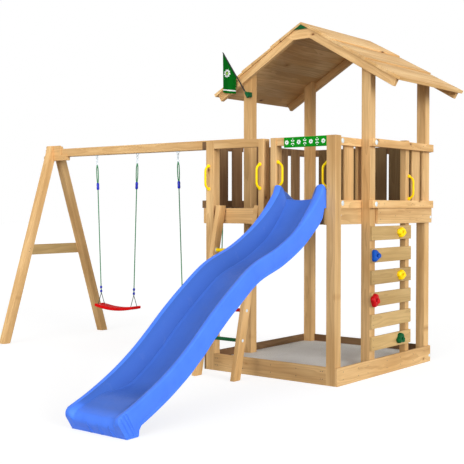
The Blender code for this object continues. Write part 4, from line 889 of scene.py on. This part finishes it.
def curve_height(table, at):
    """The height of a smooth curve through the points of a table."""
    last = len(table) - 1
    slopes = []
    for index in range(last + 1):
        (x0, z0), (x1, z1) = table[max(index - 1, 0)], table[min(index + 1, last)]
        slopes.append((z1 - z0) / (x1 - x0))
    index = max(i for i in range(last) if table[i][0] <= at or i == 0)
    (x0, z0), (x1, z1) = table[index], table[index + 1]
    width = x1 - x0
    t = (at - x0) / width
    bend = slopes[index] * width * t * (1 - t) ** 2 - slopes[index + 1] * width * t * t * (1 - t)
    return z0 + (z1 - z0) * eased_step(t) + bend


def slide_station(share):
    """At a share of the run: Y, the rim's height, the chute's depth and the height of the lower edge."""
    top, end = DECK_TOP + SLIDE_TOP_RIM, SLIDE_END_RIM
    rim = end + (top - end) * curve_height(SLIDE_WAVE, share)
    before, after = max(share - 0.01, 0.0), min(share + 0.01, 1.0)
    rise = curve_height(SLIDE_WAVE, before) - curve_height(SLIDE_WAVE, after)
    stretch = math.hypot(1.0, rise * (top - end) / ((after - before) * SLIDE_RUN))
    depth = TOP_DEPTH + (CHUTE_DEPTH * stretch - TOP_DEPTH) * eased_step((share - 0.01) / 0.13)
    depth += (END_DEPTH - depth) * eased_step((share - END_START) / (FOOT_SHARE - END_START))
    return FRONT - share * SLIDE_RUN, rim, depth, max(rim - SIDE_HEIGHT * stretch, 0.0)


def floor_half(share):
    return CHUTE_FLOOR + FLOOR_WIDENING * eased_step((share - 0.75) / 0.25)


def slide_chute(rim, depth, floor, soft):
    inner = SLIDE_HALF - RIM_WIDTH - (HORN_WIDTH - RIM_WIDTH) * soft
    start = 0.004 + 0.004 * soft
    points = [(inner + (floor - inner) * a, rim - start - (depth - start) * d) for a, d in SLIDE_ACROSS]
    last_x, last_z = points[-1]
    for column in range(1, FLOOR_COLUMNS + 1):
        share = column / FLOOR_COLUMNS
        points.append((last_x * (1 - share), last_z + (rim - depth - 0.003 - last_z) * eased_step(share)))
    return points


def slide_section(rim, depth, foot, floor, soft=0.0):
    """The outline of one cross-section: a bead and step near the lower edge, a rounded rim, the chute."""
    tall = rim - foot
    heights = [foot + min(up, tall * most) for _, up, most in SIDE_STEPS]
    over = [(SLIDE_HALF - inset, z) for (inset, _, _), z in zip(SIDE_STEPS, heights)]
    under = [(SLIDE_HALF - SHELL, z) for z in heights]
    for (in_a, down_a), (in_b, down_b), (in_c, down_c) in zip(RIM_EDGE, HORN_EDGE, UNDER_EDGE):
        down = min(down_a + (down_b - down_a) * soft, tall * 0.5)
        over.append((SLIDE_HALF - in_a - (in_b - in_a) * soft, rim - down))
        down = min(down_c + down_b * soft, tall * 0.6)
        under.append((SLIDE_HALF - SHELL - in_c * (1 + soft), rim - down))
    chute = slide_chute(rim, depth, floor, soft)
    over += chute
    under += [(x, z - SHELL) for x, z in chute]
    over, under = ([(-x, z) for x, z in half] + half[-2::-1] for half in (over, under))
    return over + under[::-1]


def rim_height(y):
    return slide_station((FRONT - y) / SLIDE_RUN)[1]


def rolled(deep, start_y, inward, row):
    """Y and Z in a row of the slide's end: along the chute, over an arc, and down to the ground."""
    share = min(deep / END_DEPTH, 1.0)
    radius = END_ROUNDING + (ROLL_RADIUS - END_ROUNDING) * share
    middle_y = SLIDE_END + ROLL_RECESS * eased_step(share) + radius
    enter = math.atan(rim_height(SLIDE_END + 0.08) / 0.08 - rim_height(SLIDE_END) / 0.08)
    reach = radius - inward
    tangent_y = middle_y - radius * math.sin(enter)
    middle_z = rim_height(tangent_y) - deep - radius * math.cos(enter)
    if row <= FLAT_ROWS:
        y = start_y + (tangent_y - start_y) * row / FLAT_ROWS
        across = inward * row / FLAT_ROWS
        return y + across * math.sin(enter), rim_height(y) - deep - inward + across * (1 - math.cos(enter))
    ground_y = SLIDE_END + END_LEAN
    lean = 0.4
    for _ in range(6):
        lean = math.atan2(ground_y - middle_y + radius * math.cos(lean), middle_z - radius * math.sin(lean))
    if row <= FLAT_ROWS + ARC_ROWS:
        turn = enter + (math.pi / 2 + lean - enter) * (row - FLAT_ROWS) / ARC_ROWS
        return middle_y - reach * math.sin(turn), middle_z + reach * math.cos(turn)
    down = (row - FLAT_ROWS - ARC_ROWS) / DOWN_ROWS
    high_y, high_z = middle_y - reach * math.cos(lean), middle_z - reach * math.sin(lean)
    low = 0.0006 if inward == 0 else 0.0003
    return high_y + (high_z - low) * math.tan(lean) * down, high_z + (low - high_z) * down


def end_rings(start_y):
    """Cross-sections that turn over the slide's end, with grooves on the sides."""
    slope = END_LEAN / (rolled(0.0, start_y, 0.0, FLAT_ROWS + ARC_ROWS)[1] + 0.012)
    start_share = (FRONT - start_y) / SLIDE_RUN
    _, rim, depth, _ = slide_station(start_share)
    rings = []
    for row in range(FLAT_ROWS + ARC_ROWS + DOWN_ROWS + 1):
        along = min(row / FLAT_ROWS, 1.0)
        floor = floor_half(start_share + (1 - start_share) * along)
        section = slide_section(rim, depth + (END_DEPTH - depth) * along, 0.0, floor)
        ring, edge = [], {}
        for index, (x, z) in enumerate(section):
            under = index >= OVER_COUNT
            place = len(section) - 1 - index if under else index
            place = min(place, OVER_COUNT - 1 - place)
            if place < SIDE_POINTS:
                ring.append((x, None, z / (rim - RIM_EDGE[0][1])))
                continue
            shell = SHELL if under else 0.0
            y, z = rolled(max(rim - z - shell, 0.0), start_y, shell, row)
            ring.append((x, y, max(z, 0.0003)))
            if place == SIDE_POINTS:
                edge[(under, x > 0)] = (y, z)
        placed = []
        for index, (x, y, z) in enumerate(ring):
            under = index >= OVER_COUNT
            if y is None:
                top_y, top_z = edge[(under, x > 0)]
                foot_y = min(start_y - 0.0002 * row, top_y + slope * top_z)
                y, z = foot_y + (top_y - foot_y) * z, top_z * z
            if row in GROOVE_ROWS and not under and abs(x) > SLIDE_HALF - 0.010:
                x -= math.copysign(GROOVE_DEPTH, x)
            placed.append((SLIDE_MIDDLE + x, max(y, SLIDE_END), z))
        rings.append(placed)
    return rings


def add_ribs(shape, start_y):
    """Three ribs down the panel under the slide's end, thicker towards the ground."""
    steps = 14
    for middle in RIB_MIDDLES:
        path, radii = [], []
        for share in (step / steps for step in range(steps + 1)):
            row = FLAT_ROWS + ARC_ROWS - 4 + (DOWN_ROWS + 1.5) * share
            y, z = rolled(END_DEPTH, start_y, 0.0, row)
            radius = RIB_TIP + (RIB_FOOT - RIB_TIP) * share ** 0.8
            path.append((SLIDE_MIDDLE + middle + RIB_LEAN * share, y + radius * 0.35, max(z, radius * 0.7)))
            radii.append(radius)
        sweep(shape, path, radii, 16)


def make_slide():
    rings = []

    def add_ring(y, *section, soft=0.0):
        rings.append([(SLIDE_MIDDLE + x, y, z) for x, z in slide_section(*section, soft)])

    top_rim = DECK_TOP + SLIDE_TOP_RIM
    lip = top_rim - HORN_LIP
    post_rim = RAIL_TOP - POST_RIM_DOWN
    for back_by, share in SLIDE_HORN:
        rim = lip + (top_rim - lip) * share
        if back_by > 0:
            rim = min(rim, post_rim)
        add_ring(FRONT + back_by, rim, rim - lip, DECK_TOP + GAP, CHUTE_FLOOR, soft=1.0)
    start, bend, count = 0.022, 0.010, 110
    for index in range(count):
        share = start + (FOOT_SHARE - start) * index / (count - 1)
        y, rim, depth, foot = slide_station(share)
        into = max(share - FOOT_SHARE + bend, 0.0) / bend
        foot *= 1 - 0.35 * (1 - math.sqrt(1 - min(into, 0.999) ** 2))
        add_ring(y, rim, depth, foot, floor_half(share), soft=1 - eased_step((share - 0.04) / 0.16))
    for ahead, foot in ((0.0010, 0.012), (0.0022, 0.004)):
        y, rim, depth, _ = slide_station(FOOT_SHARE + ahead)
        add_ring(y, rim, depth, foot, floor_half(FOOT_SHARE))
    before_end = len(rings)
    rings += end_rings(y - 0.008)
    shape = Shape()
    loft(shape, rings)
    # Tone is the share of painted shade: none on the outer walls, rim tops and underside, full on the upper
    # inner walls, 0.72 on the chute, fading out over the end; the ribs added below keep half.
    side = SIDE_POINTS + EDGE_POINTS + 1
    for index in range(len(shape.points)):
        row, place = divmod(index, len(rings[0]))
        place = min(place, OVER_COUNT - 1 - place)
        fade = 1 - eased_step((row - before_end - 8) / 24)
        shape.tone[index] = 0.0 if place < side else (1.0 if place < side + 9 else 0.72) * fade
    add_ribs(shape, y - 0.008)
    piece("slide_moulding", shape, BLUE, "slide", 24)


make_slide()


# Ladder, handles, holds, banner


STRINGER, LADDER_REACH = 0.045, 0.345
RUNG_RADIUS, RUNG_END_RADIUS, RUNG_FIRST, RUNG_PITCH, RUNG_GROOVES = 0.016, 0.0195, 0.34, 0.257, 30
HANDLE_HALF, HANDLE_REACH, HANDLE_RADIUS = 0.105, 0.052, 0.0102
HANDLE_BOW = ((0.0, 1.0), (0.18, 1.0), (0.40, 0.93), (0.62, 0.85), (0.84, 0.74), (0.97, 0.60),
              (1.0, 0.42), (1.0, 0.14))
HANDLE_FOOT = ((0.0, 0.0155), (0.003, 0.0165), (0.010, 0.0165), (0.015, 0.0145), (0.019, 0.010),
               (0.0205, 0.004))
HOLD_PROFILE = (
    (0.0, 0.96), (0.10, 1.0), (0.40, 0.99), (0.66, 0.955), (0.84, 0.89), (0.94, 0.80), (0.995, 0.70),
    (1.0, 0.60), (0.97, 0.50), (0.90, 0.41), (0.84, 0.34), (0.80, 0.30), (0.66, 0.275), (0.40, 0.26),
    (0.38, 0.02),
)
HOLD_RADIUS, HOLD_DEPTH, HOLD_STRETCH, HOLD_SIDES = 0.046, 0.040, 1.18, 72


def make_ladder():
    top, top_back = DECK_TOP + 0.024, FRONT + POST
    top_front = top_back - POST
    outline = ((top_front - LADDER_REACH, 0.0), (top_back - LADDER_REACH, 0.0), (top_back, top),
               (top_front, top))
    left_start = LEFT + POST + JOIST_THICKNESS + 2 * GAP
    right_start = LADDER_POST_LEFT - GAP - STRINGER
    for side, start in (("left", left_start), ("right", right_start)):
        shape = Shape()
        prism(shape, outline, "X", start, start + STRINGER, (0, LADDER_REACH, top))
        node = f"ladder_stringer_{side}"
        piece(node + "_board", shape, WOOD, node)
    start = left_start + STRINGER + GAP
    length = right_start - GAP - start
    profile = [(0.0, RUNG_END_RADIUS), (0.010, RUNG_END_RADIUS), (0.012, RUNG_RADIUS)]
    for step in range(1, RUNG_GROOVES):
        wave = 0.0006 * math.cos(step * math.pi)
        profile.append((0.012 + (length - 0.024) * step / RUNG_GROOVES, RUNG_RADIUS + wave))
    profile += [(length - 0.012, RUNG_RADIUS), (length - 0.010, RUNG_END_RADIUS), (length, RUNG_END_RADIUS)]
    washer = ((-0.0005, 0.019), (0.0, 0.023), (0.004, 0.023), (0.005, 0.020))
    washers = Shape()
    rungs = (("green", GREEN), ("red", RED), ("blue", HOLD_BLUE), ("yellow", YELLOW))
    for index, (name, material) in enumerate(rungs):
        height = RUNG_FIRST + index * RUNG_PITCH
        middle = (top_front + top_back) / 2 - LADDER_REACH * (1 - height / top)
        shape = Shape()
        turned(shape, (start, middle, height), OUT_RIGHT, profile, 24)
        piece(f"rung_{name}_moulding", shape, material, f"rung_{name}", 40)
        for at, out in ((left_start, -1), (right_start + STRINGER, 1)):
            bolt((at, middle, height), (out, 0, 0), 0.010)
        turned(washers, (start, middle, height), OUT_RIGHT, washer)
    piece("rung_washers", washers, ZINC, smooth=40)


def make_handles():
    bow = HANDLE_BOW + tuple((out, -up) for out, up in reversed(HANDLE_BOW))
    height = RAIL_TOP - 0.435 + HANDLE_HALF
    low = LOWER_RAIL[1] + HANDLE_HALF + 0.016 + CLEAR
    for node, place, outward in (
        ("handle_front_left", (LEFT + 0.035, FRONT - GAP, height), OUT_FRONT),
        ("handle_ladder_post", (LADDER_POST_LEFT + 0.02, FRONT - GAP, height), OUT_FRONT),
        ("handle_slide_post", (SLIDE_POST_RIGHT + GAP, FRONT + 0.026, height + 0.015), OUT_RIGHT),
        ("handle_front_right", (RIGHT - POST - GAP, FRONT + 0.026, height), (-1, 0, 0)),
        ("handle_climbing_stud", (RIGHT + GAP, STUD_FRONT + 0.05, low), OUT_RIGHT),
    ):
        shape = Shape()
        place, out = Vector(place), Vector(outward)
        path = [place + out * (a * HANDLE_REACH) + Vector((0, 0, b * HANDLE_HALF)) for a, b in bow]
        sweep(shape, smooth_path(path, 6), HANDLE_RADIUS, 16)
        for up in (HANDLE_HALF, -HANDLE_HALF):
            turned(shape, place + Vector((0, 0, up)), out, HANDLE_FOOT)
        piece(node + "_moulding", shape, YELLOW, node, 50)


def make_hold(name, along, plank, material, outline, turn, tall, seed):
    """A moulded hold: a thick lobed form with a dished front, dents and a bolt recess."""
    base = Vector((RIGHT + PLANK_THICKNESS + 2 * GAP, along, plank_middle(plank)))
    rings = []
    for depth, share in HOLD_PROFILE:
        fade = min(1.0, max(0.0, (share - 0.30) / 0.4))
        ring = []
        for angle in angles(HOLD_SIDES):
            lobes = sum(amount * math.cos(count * angle + phase + turn) for count, amount, phase in outline)
            size = HOLD_RADIUS * share * (1 + lobes * fade)
            dent = 0.07 * math.sin(3 * angle + seed) + 0.03 * math.sin(8 * angle + 2 * seed)
            out = depth * HOLD_DEPTH * (1.0 + dent * depth * fade)
            across = size * HOLD_STRETCH * math.cos(angle)
            ring.append(base + Vector((out, across, size * tall * math.sin(angle))))
        rings.append(ring)
    shape = Shape()
    loft(shape, rings)
    node = "hold_" + name
    piece(node + "_moulding", shape, material, node, 35)
    stud_head(SCREWS, base + Vector((0.0155, 0, 0)), OUT_RIGHT, 0.0095, 0.006, 6)


def make_holds():
    near_post, near_stud = ROOF_POST_FRONT + 0.03, STUD_FRONT - 0.145
    blocky = ((4, 0.08, 0.6), (7, 0.05, 1.0), (2, 0.06, 0.2))
    three, other_three = ((3, 0.19, 0.0), (6, 0.03, 0.0)), ((3, 0.17, 1.5), (6, 0.04, 0.0))
    tall = ((4, 0.10, 0.8), (1, 0.08, 1.6))
    make_hold("yellow_upper", near_stud, 0, YELLOW, blocky, 0.4, 1.0, 0.5)
    make_hold("yellow_lower", near_stud, 2, YELLOW, blocky, 0.7, 1.0, 1.4)
    make_hold("blue", near_post + 0.01, 1, HOLD_BLUE, three, 0.0, 1.05, 2.2)
    make_hold("red", near_post, 3, RED, tall, 0.2, 1.22, 3.1)
    make_hold("green", near_stud - 0.01, 5, GREEN, other_three, 0.0, 1.0, 4.0)


def make_banner():
    """A plate with a raised print of plain flowers and leaves, by turns."""
    low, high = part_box("banner")
    plate, pattern = Shape(), Shape()
    board(plate, low, high, "X", 0.004)
    face = low[1] - 0.0001
    middle_z = (low[2] + high[2]) / 2

    def disc(x, up, radius, squash=1.0, turn=0.0):
        ring = []
        for angle in angles(16):
            a, b = radius * math.cos(angle), radius * squash * math.sin(angle)
            across, rise = a * math.cos(turn) - b * math.sin(turn), a * math.sin(turn) + b * math.cos(turn)
            ring.append((x + across, middle_z + up + rise))
        loft(pattern, [[(px, y, pz) for px, pz in ring] for y in (face, face + 0.0008)])

    count = 7
    for index in range(count):
        x = low[0] + (high[0] - low[0]) * (index + 0.5) / count
        if index % 2 == 0:
            for angle in (math.tau * (k + 0.25) / 6 for k in range(6)):
                disc(x + 0.0125 * math.cos(angle), 0.0125 * math.sin(angle), 0.0078)
            continue
        for across, up in ((0.009, 0.012), (-0.009, 0.012), (0.009, -0.012), (-0.009, -0.012)):
            disc(x + across, up, 0.0095, 0.5, math.copysign(0.7, across * up))
        disc(x, 0.028, 0.0045)
        disc(x, -0.028, 0.0045)
    piece("banner_plate", plate, BANNER_GREEN, "banner")
    piece("banner_pattern", pattern, BANNER_WHITE)


make_ladder()
make_handles()
make_holds()
make_banner()


# Swing frame and seats


BEAM_FACE = BEAM / 2 + GAP
CHEEK = BEAM_FACE + 0.018
SEAT_STEPS, SEAT_RIBS, RIB_HEIGHT = 40, 5, 0.0016
EYE_RADIUS, EYE_WIRE, EYE_PLATE = 0.012, 0.0036, 0.004
LEG_TOP = BEAM_TOP + 0.037
CROSSBAR_Z, CROSSBAR_HALF, CROSSBAR_THICKNESS = 1.017, 0.0575, 0.035


def make_swing_eyes():
    """A plate and a bent eye under the beam for each rope."""
    eyes = Shape()
    for x in (middle + sign * HANGER_SPAN / 2 for middle in SWING_MIDDLES for sign in (-1, 1)):
        outline = [(x + 0.025 * math.cos(a), BEAM_Y + 0.015 * math.sin(a)) for a in angles(20)]
        loft(eyes, [[(px, py, z) for px, py in outline] for z in (BEAM_BOTTOM - EYE_PLATE, BEAM_BOTTOM)])
        bend = [(x - EYE_RADIUS * math.cos(a), BEAM_Y, PIVOT_Z + 0.012 - EYE_RADIUS * math.sin(a))
                for a in (math.pi * k / 12 for k in range(1, 12))]
        legs = [[(x + sign * 0.011, BEAM_Y, BEAM_BOTTOM - 0.002),
                 (x + sign * EYE_RADIUS, BEAM_Y, PIVOT_Z + 0.016)] for sign in (-1, 1)]
        sweep(eyes, legs[0] + bend + legs[1][::-1], EYE_WIRE, 8)
    piece("swing_eyes", eyes, ZINC, smooth=50)


def make_saddle():
    """A block under the beam's end and a shaped plate that holds the front leg."""
    low_top = BEAM_BOTTOM + 0.02
    left, right = A_FRAME_X - 0.126, A_FRAME_X + 0.26
    low, block_top = SADDLE_BOTTOM, BEAM_BOTTOM - GAP
    tab_left, tab_right = A_FRAME_X - 0.08, A_FRAME_X + 0.16
    saddle = Shape()
    block = [(left, low), (right, low), (right, block_top), (left, block_top)]
    prism(saddle, block, "Y", BEAM_Y - CHEEK + 0.0185, BEAM_Y - CHEEK + 0.058, AXES["X"], tone=0.5)
    plate = [
        (left + 0.035, low), (right - 0.012, low), (right, low + 0.012), (right, low_top - 0.008),
        (right - 0.008, low_top), (tab_right, low_top), (tab_right, LEG_TOP - 0.006),
        (tab_right - 0.006, LEG_TOP), (tab_left + 0.006, LEG_TOP), (tab_left, LEG_TOP - 0.006),
        (tab_left, low_top), (left + 0.02, low_top), (left + 0.006, low_top - 0.014),
        (left, low_top - 0.03), (left + 0.004, low + 0.022), (left + 0.014, low + 0.008),
    ]
    prism(saddle, plate, "Y", BEAM_Y - CHEEK, BEAM_Y - BEAM_FACE, AXES["X"], 0.002, tone=0.6)
    piece("swing_saddle_boards", saddle, WOOD, "swing_saddle")


def make_swing_frame():
    beam = Shape()
    low, high = (BEAM_END, BEAM_Y - BEAM / 2, BEAM_BOTTOM), (LEFT - GAP, BEAM_Y + BEAM / 2, BEAM_TOP)
    board(beam, low, high, "X", 0.005, tone=0.55)
    piece("swing_beam_board", beam, WOOD, "swing_beam")
    make_swing_eyes()
    make_saddle()

    width = LEG * math.hypot(1.0, (HALF_SPREAD - BEAM) / SADDLE_BOTTOM)
    inner = HALF_SPREAD - width / 2
    slant = (inner - BEAM / 2) / SADDLE_BOTTOM
    under = SADDLE_BOTTOM - GAP
    for place, sign, cut, tone in (("front", -1, CHEEK + GAP, 0.7), ("back", 1, BEAM_FACE, 0.35)):
        half = ((inner, 0.0), (inner + width, 0.0), (inner + width - slant * LEG_TOP, LEG_TOP),
                (cut, LEG_TOP), (cut, under), (inner - slant * under, under))
        outline = [(BEAM_Y + sign * across, z) for across, z in half]
        shape = Shape()
        left, right = A_FRAME_X - LEG / 2, A_FRAME_X + LEG / 2
        prism(shape, outline, "X", left, right, (0, -sign * slant, 1), 0.0025, tone)
        piece(f"swing_leg_{place}_board", shape, WOOD, f"swing_leg_{place}")
    bottom, top = CROSSBAR_Z - CROSSBAR_HALF, CROSSBAR_Z + CROSSBAR_HALF
    end = A_FRAME_X - LEG / 2 - GAP
    reach = inner + width - 0.035
    outline = [(BEAM_Y + sign * (reach - slant * z), z)
               for sign, z in ((-1, bottom), (1, bottom), (1, top), (-1, top))]
    bar = Shape()
    prism(bar, outline, "X", end - CROSSBAR_THICKNESS, end, AXES["Y"], tone=0.4)
    piece("swing_crossbar_board", bar, PLANK_WOOD, "swing_crossbar")
    for sign in (-1, 1):
        for z in (1.0, 1.035):
            across = sign * (inner + width / 2 - slant * z)
            screw((A_FRAME_X + LEG / 2, BEAM_Y + across, z), OUT_RIGHT)
    for dx, dz in ((-0.055, 0.10), (0.02, 0.06), (0.02, 0.13), (0.12, 0.10), (0.22, 0.025), (-0.10, 0.03)):
        screw((A_FRAME_X + dx, BEAM_Y - CHEEK, SADDLE_BOTTOM + dz), OUT_FRONT)


def make_seat(number, middle):
    """A strap seat that sags, with eased edges and a ribbed top."""
    half_w, half_t, ease = SEAT_WIDTH / 2, SEAT_THICKNESS / 2, 0.009
    section = []
    for side_y, side_z, start in ((1, -1, -90), (1, 1, 0), (-1, 1, 90), (-1, -1, 180)):
        for angle in (math.radians(start + 22.5 * k) for k in range(5)):
            section.append((side_y * (half_w - ease) + ease * math.cos(angle),
                            side_z * (half_t - ease) + ease * math.sin(angle)))
        if start == 0:
            section += [((half_w - 0.014) * (1 - at / SEAT_RIBS), half_t - RIB_HEIGHT * (at % 2))
                        for at in range(2 * SEAT_RIBS + 1)]
    rings = []
    for share in (index / SEAT_STEPS for index in range(SEAT_STEPS + 1)):
        x = SEAT_LENGTH * (share - 0.5)
        pinch = min(1.0, 0.90 + 0.10 * math.sqrt(min(1.0, (0.5 - abs(share - 0.5)) / 0.015)))
        z, narrow = seat_height(x) - half_t, 0.97 + 0.03 * pinch
        rings.append([(middle + x, BEAM_Y + y * narrow, z + up * pinch) for y, up in section])
    strap, rivets = Shape(), Shape()
    loft(strap, rings)
    body, x = f"swing_{number}", SEAT_SPAN / 2 - 0.022
    piece(f"swing_seat_{number}_strap", strap, SEAT_RED, f"swing_seat_{number}", 40, body)
    for sign in (-1, 1):
        for y in (-0.045, 0.045):
            stud_head(rivets, (middle + sign * x, BEAM_Y + y, seat_height(x)), UP, 0.007, 0.003)
    piece(f"seat_rivets_{number}", rivets, ZINC, smooth=50, body=body)


make_swing_frame()
for number, middle in enumerate(SWING_MIDDLES, 1):
    make_seat(number, middle)


# Flag, sand, screws and bolts


def grid_faces(columns, rows):
    """The corners of each cell of a grid of points, and the points of its border in order."""
    line = columns + 1
    cells = [(a, a + line, a + line + 1, a + 1)
             for row in range(rows) for a in range(row * line, row * line + columns)]
    border = list(range(line)) + [row * line + columns for row in range(1, rows + 1)]
    border += [rows * line + column for column in range(columns - 1, -1, -1)]
    border += [row * line for row in range(rows - 1, 0, -1)]
    return cells, border


FLAG_RUN, FLAG_RISE, FLAG_WIDTH, FLAG_DROP, FLAG_SHORT_DROP = 0.294, 0.43, 0.166, 0.375, 0.16
POLE_RADIUS, CLOTH_HALF = 0.006, 0.0008
SAND_LEVEL, SAND_MOUND, SAND_LUMPS, SAND_UNDER, SAND_WAVES = 0.086, 0.030, 0.016, 0.002, 14


def make_flag():
    middle_x = LEFT + 0.09
    holder_back = ROOF_POST_FRONT - GAP
    pole_y = holder_back - RAFTER_THICKNESS - 0.015 - 0.012
    foot = Vector((middle_x, pole_y, 2.575))
    tip = foot + Vector((-FLAG_RUN, 0.0, FLAG_RISE))
    pole, holder, shape = Shape(), Shape(), Shape()
    places = [foot.lerp(tip, share) for share in (0.0, 0.3, 0.6, 0.97, 0.985, 1.0)]
    sweep(pole, places, [POLE_RADIUS] * 4 + [0.005, 0.002])
    socket = ((0.0, 0.013), (0.004, 0.016), (0.05, 0.0135), (0.062, 0.012), (0.064, 0.008))
    turned(holder, foot + Vector((0.0205, 0, -0.030)), tip - foot, socket)
    board(holder, (middle_x - 0.015, pole_y + 0.008, 2.552), (middle_x + 0.015, holder_back, 2.598), "Z")
    piece("flag_pole", pole, BLACK, "flagpole", 50)
    piece("flag_holder", holder, GREEN, smooth=50)

    near, far = foot.lerp(tip, 0.43), foot.lerp(tip, 0.985)
    clear = POLE_RADIUS * math.hypot(1.0, FLAG_RISE / FLAG_RUN) + CLEAR
    columns, rows = 26, 36
    points, grain = [], []
    for down in (row / rows for row in range(rows + 1)):
        for across in (column / columns for column in range(columns + 1)):
            top = far.lerp(near, across)
            drop = FLAG_DROP + (FLAG_SHORT_DROP - FLAG_DROP) * across
            wave = 0.0050 * math.sin(across * 9.5 + down * 1.4) * min(1.0, 3 * down) * (0.5 + 0.5 * down)
            z = top.z - clear - drop * down
            points.append(Vector((top.x, pole_y + wave, z)))
            grain.append((top.x - far.x, far.z - z, drop * (1 - down)))
    cells, border = grid_faces(columns, rows)
    count = len(points)
    faces = cells + [tuple(count + index for index in reversed(cell)) for cell in cells]
    faces += [(a, b, count + b, count + a) for a, b in zip(border, border[1:] + border[:1])]
    sides = [[point + Vector((0, y, 0)) for point in points] for y in (-CLOTH_HALF, CLOTH_HALF)]
    shape.add(sides[0] + sides[1], faces, grain + grain)
    flag = piece("flag_sheet", shape, FLAG, "flag", 60)


def make_sand():
    """A low mound with soft lumps, closed underneath."""
    left, right = LEFT + CLEAR, RIGHT - CLEAR
    front, back = FRONT + 0.023, BACK - 0.023
    columns, rows = 70, 84
    waves = []
    for _ in range(SAND_WAVES):
        waves.append((RNG.uniform(2, 16), RNG.uniform(2, 16), RNG.uniform(0, 6.28), RNG.uniform(0.4, 1.0)))
    points = []
    for v in (row / rows for row in range(rows + 1)):
        for u in (column / columns for column in range(columns + 1)):
            x, y = left + (right - left) * u, front + (back - front) * v
            edge = min(u, 1 - u, v, 1 - v)
            lumps = sum(size * math.sin(a * x + b * y + c) / (a + b) for a, b, c, size in waves)
            mound = SAND_MOUND * eased_step(edge / 0.35) + SAND_LUMPS * lumps * eased_step(edge / 0.08)
            points.append((x, y, SAND_LEVEL + mound))
    cells, border = grid_faces(columns, rows)
    count, total = len(points), len(border)
    faces = [cell[::-1] for cell in cells]
    for k in range(total):
        after = (k + 1) % total
        faces.append((border[after], border[k], count + k, count + after))
    faces.append(tuple(count + k for k in reversed(range(total))))
    shape = Shape()
    shape.add(points + [(points[i][0], points[i][1], SAND_UNDER) for i in border], faces)
    piece("sand_fill", shape, SAND, "sand", 60)


def make_fixings():
    """The screws of the sandbox and the front joist, and then all screws and bolts as two pieces."""
    for z in (0.05, 0.115):
        for y in (0.05, 0.30, 0.46, 0.80, 1.05, 1.30, 1.52):
            screw((RIGHT + GAP + PLANK_THICKNESS, y, z), OUT_RIGHT, 0.0045)
        for x in (-1.24, -1.22, -0.93, -0.62, -0.35, -0.10, -0.08):
            screw((x, FRONT, z), OUT_FRONT, 0.0045)
    for z in (1.38, 1.46):
        for x in (-1.20, -0.82, -0.10):
            screw((x, FRONT + POST + GAP, z), OUT_FRONT, 0.004)
    piece("screws", SCREWS, SCREW, smooth=40)
    piece("bolts", BOLTS, ZINC, smooth=40)


make_flag()
make_sand()
make_fixings()


# Floor and light


WHITE = (1, 1, 1, 1)
STAGE_HALF, STAGE_DOWN = 60.0, 0.0005
SUNS = (
    ("key_light", 2.45, (0.95, -0.25, 0.20), 30.0),
    ("front_light", 1.9, (0.14, -0.97, 0.19), 40.0),
)


def make_stage():
    """A floor and world that look white and give soft light, and two broad suns."""
    mesh = bpy.data.meshes.new("floor")
    corners = [(x * STAGE_HALF, y * STAGE_HALF, 0) for x, y in ((-1, -1), (1, -1), (1, 1), (-1, 1))]
    mesh.from_pydata(corners, [], [(0, 1, 2, 3)])
    g = new_material("floor")
    g.set(Base_Color=(0.40, 0.40, 0.40, 1), Roughness=0.9, Specular_IOR_Level=0.0)
    g.set(Emission_Color=WHITE, Emission_Strength=g.times(g.seen_directly(), 0.76))
    mesh.materials.append(g.owner)
    floor = bpy.data.objects.new("floor", mesh)
    floor.location = (0, 0, -STAGE_DOWN)
    bpy.context.scene.collection.objects.link(floor)

    g = Graph(bpy.data.worlds.new("studio"), "Background")
    g.set(Color=WHITE, Strength=g.ramp(g.seen_directly(), 0.0, 1.0, 0.42, 1.0))
    bpy.context.scene.world = g.owner

    for name, power, toward, spread in SUNS:
        data = bpy.data.lights.new(name, "SUN")
        data.energy = power
        data.angle = math.radians(spread)
        lamp = bpy.data.objects.new(name, data)
        lamp.rotation_euler = Vector(toward).to_track_quat("Z", "Y").to_euler()
        bpy.context.scene.collection.objects.link(lamp)


make_stage()
bpy.context.scene.view_settings.view_transform = "Standard"
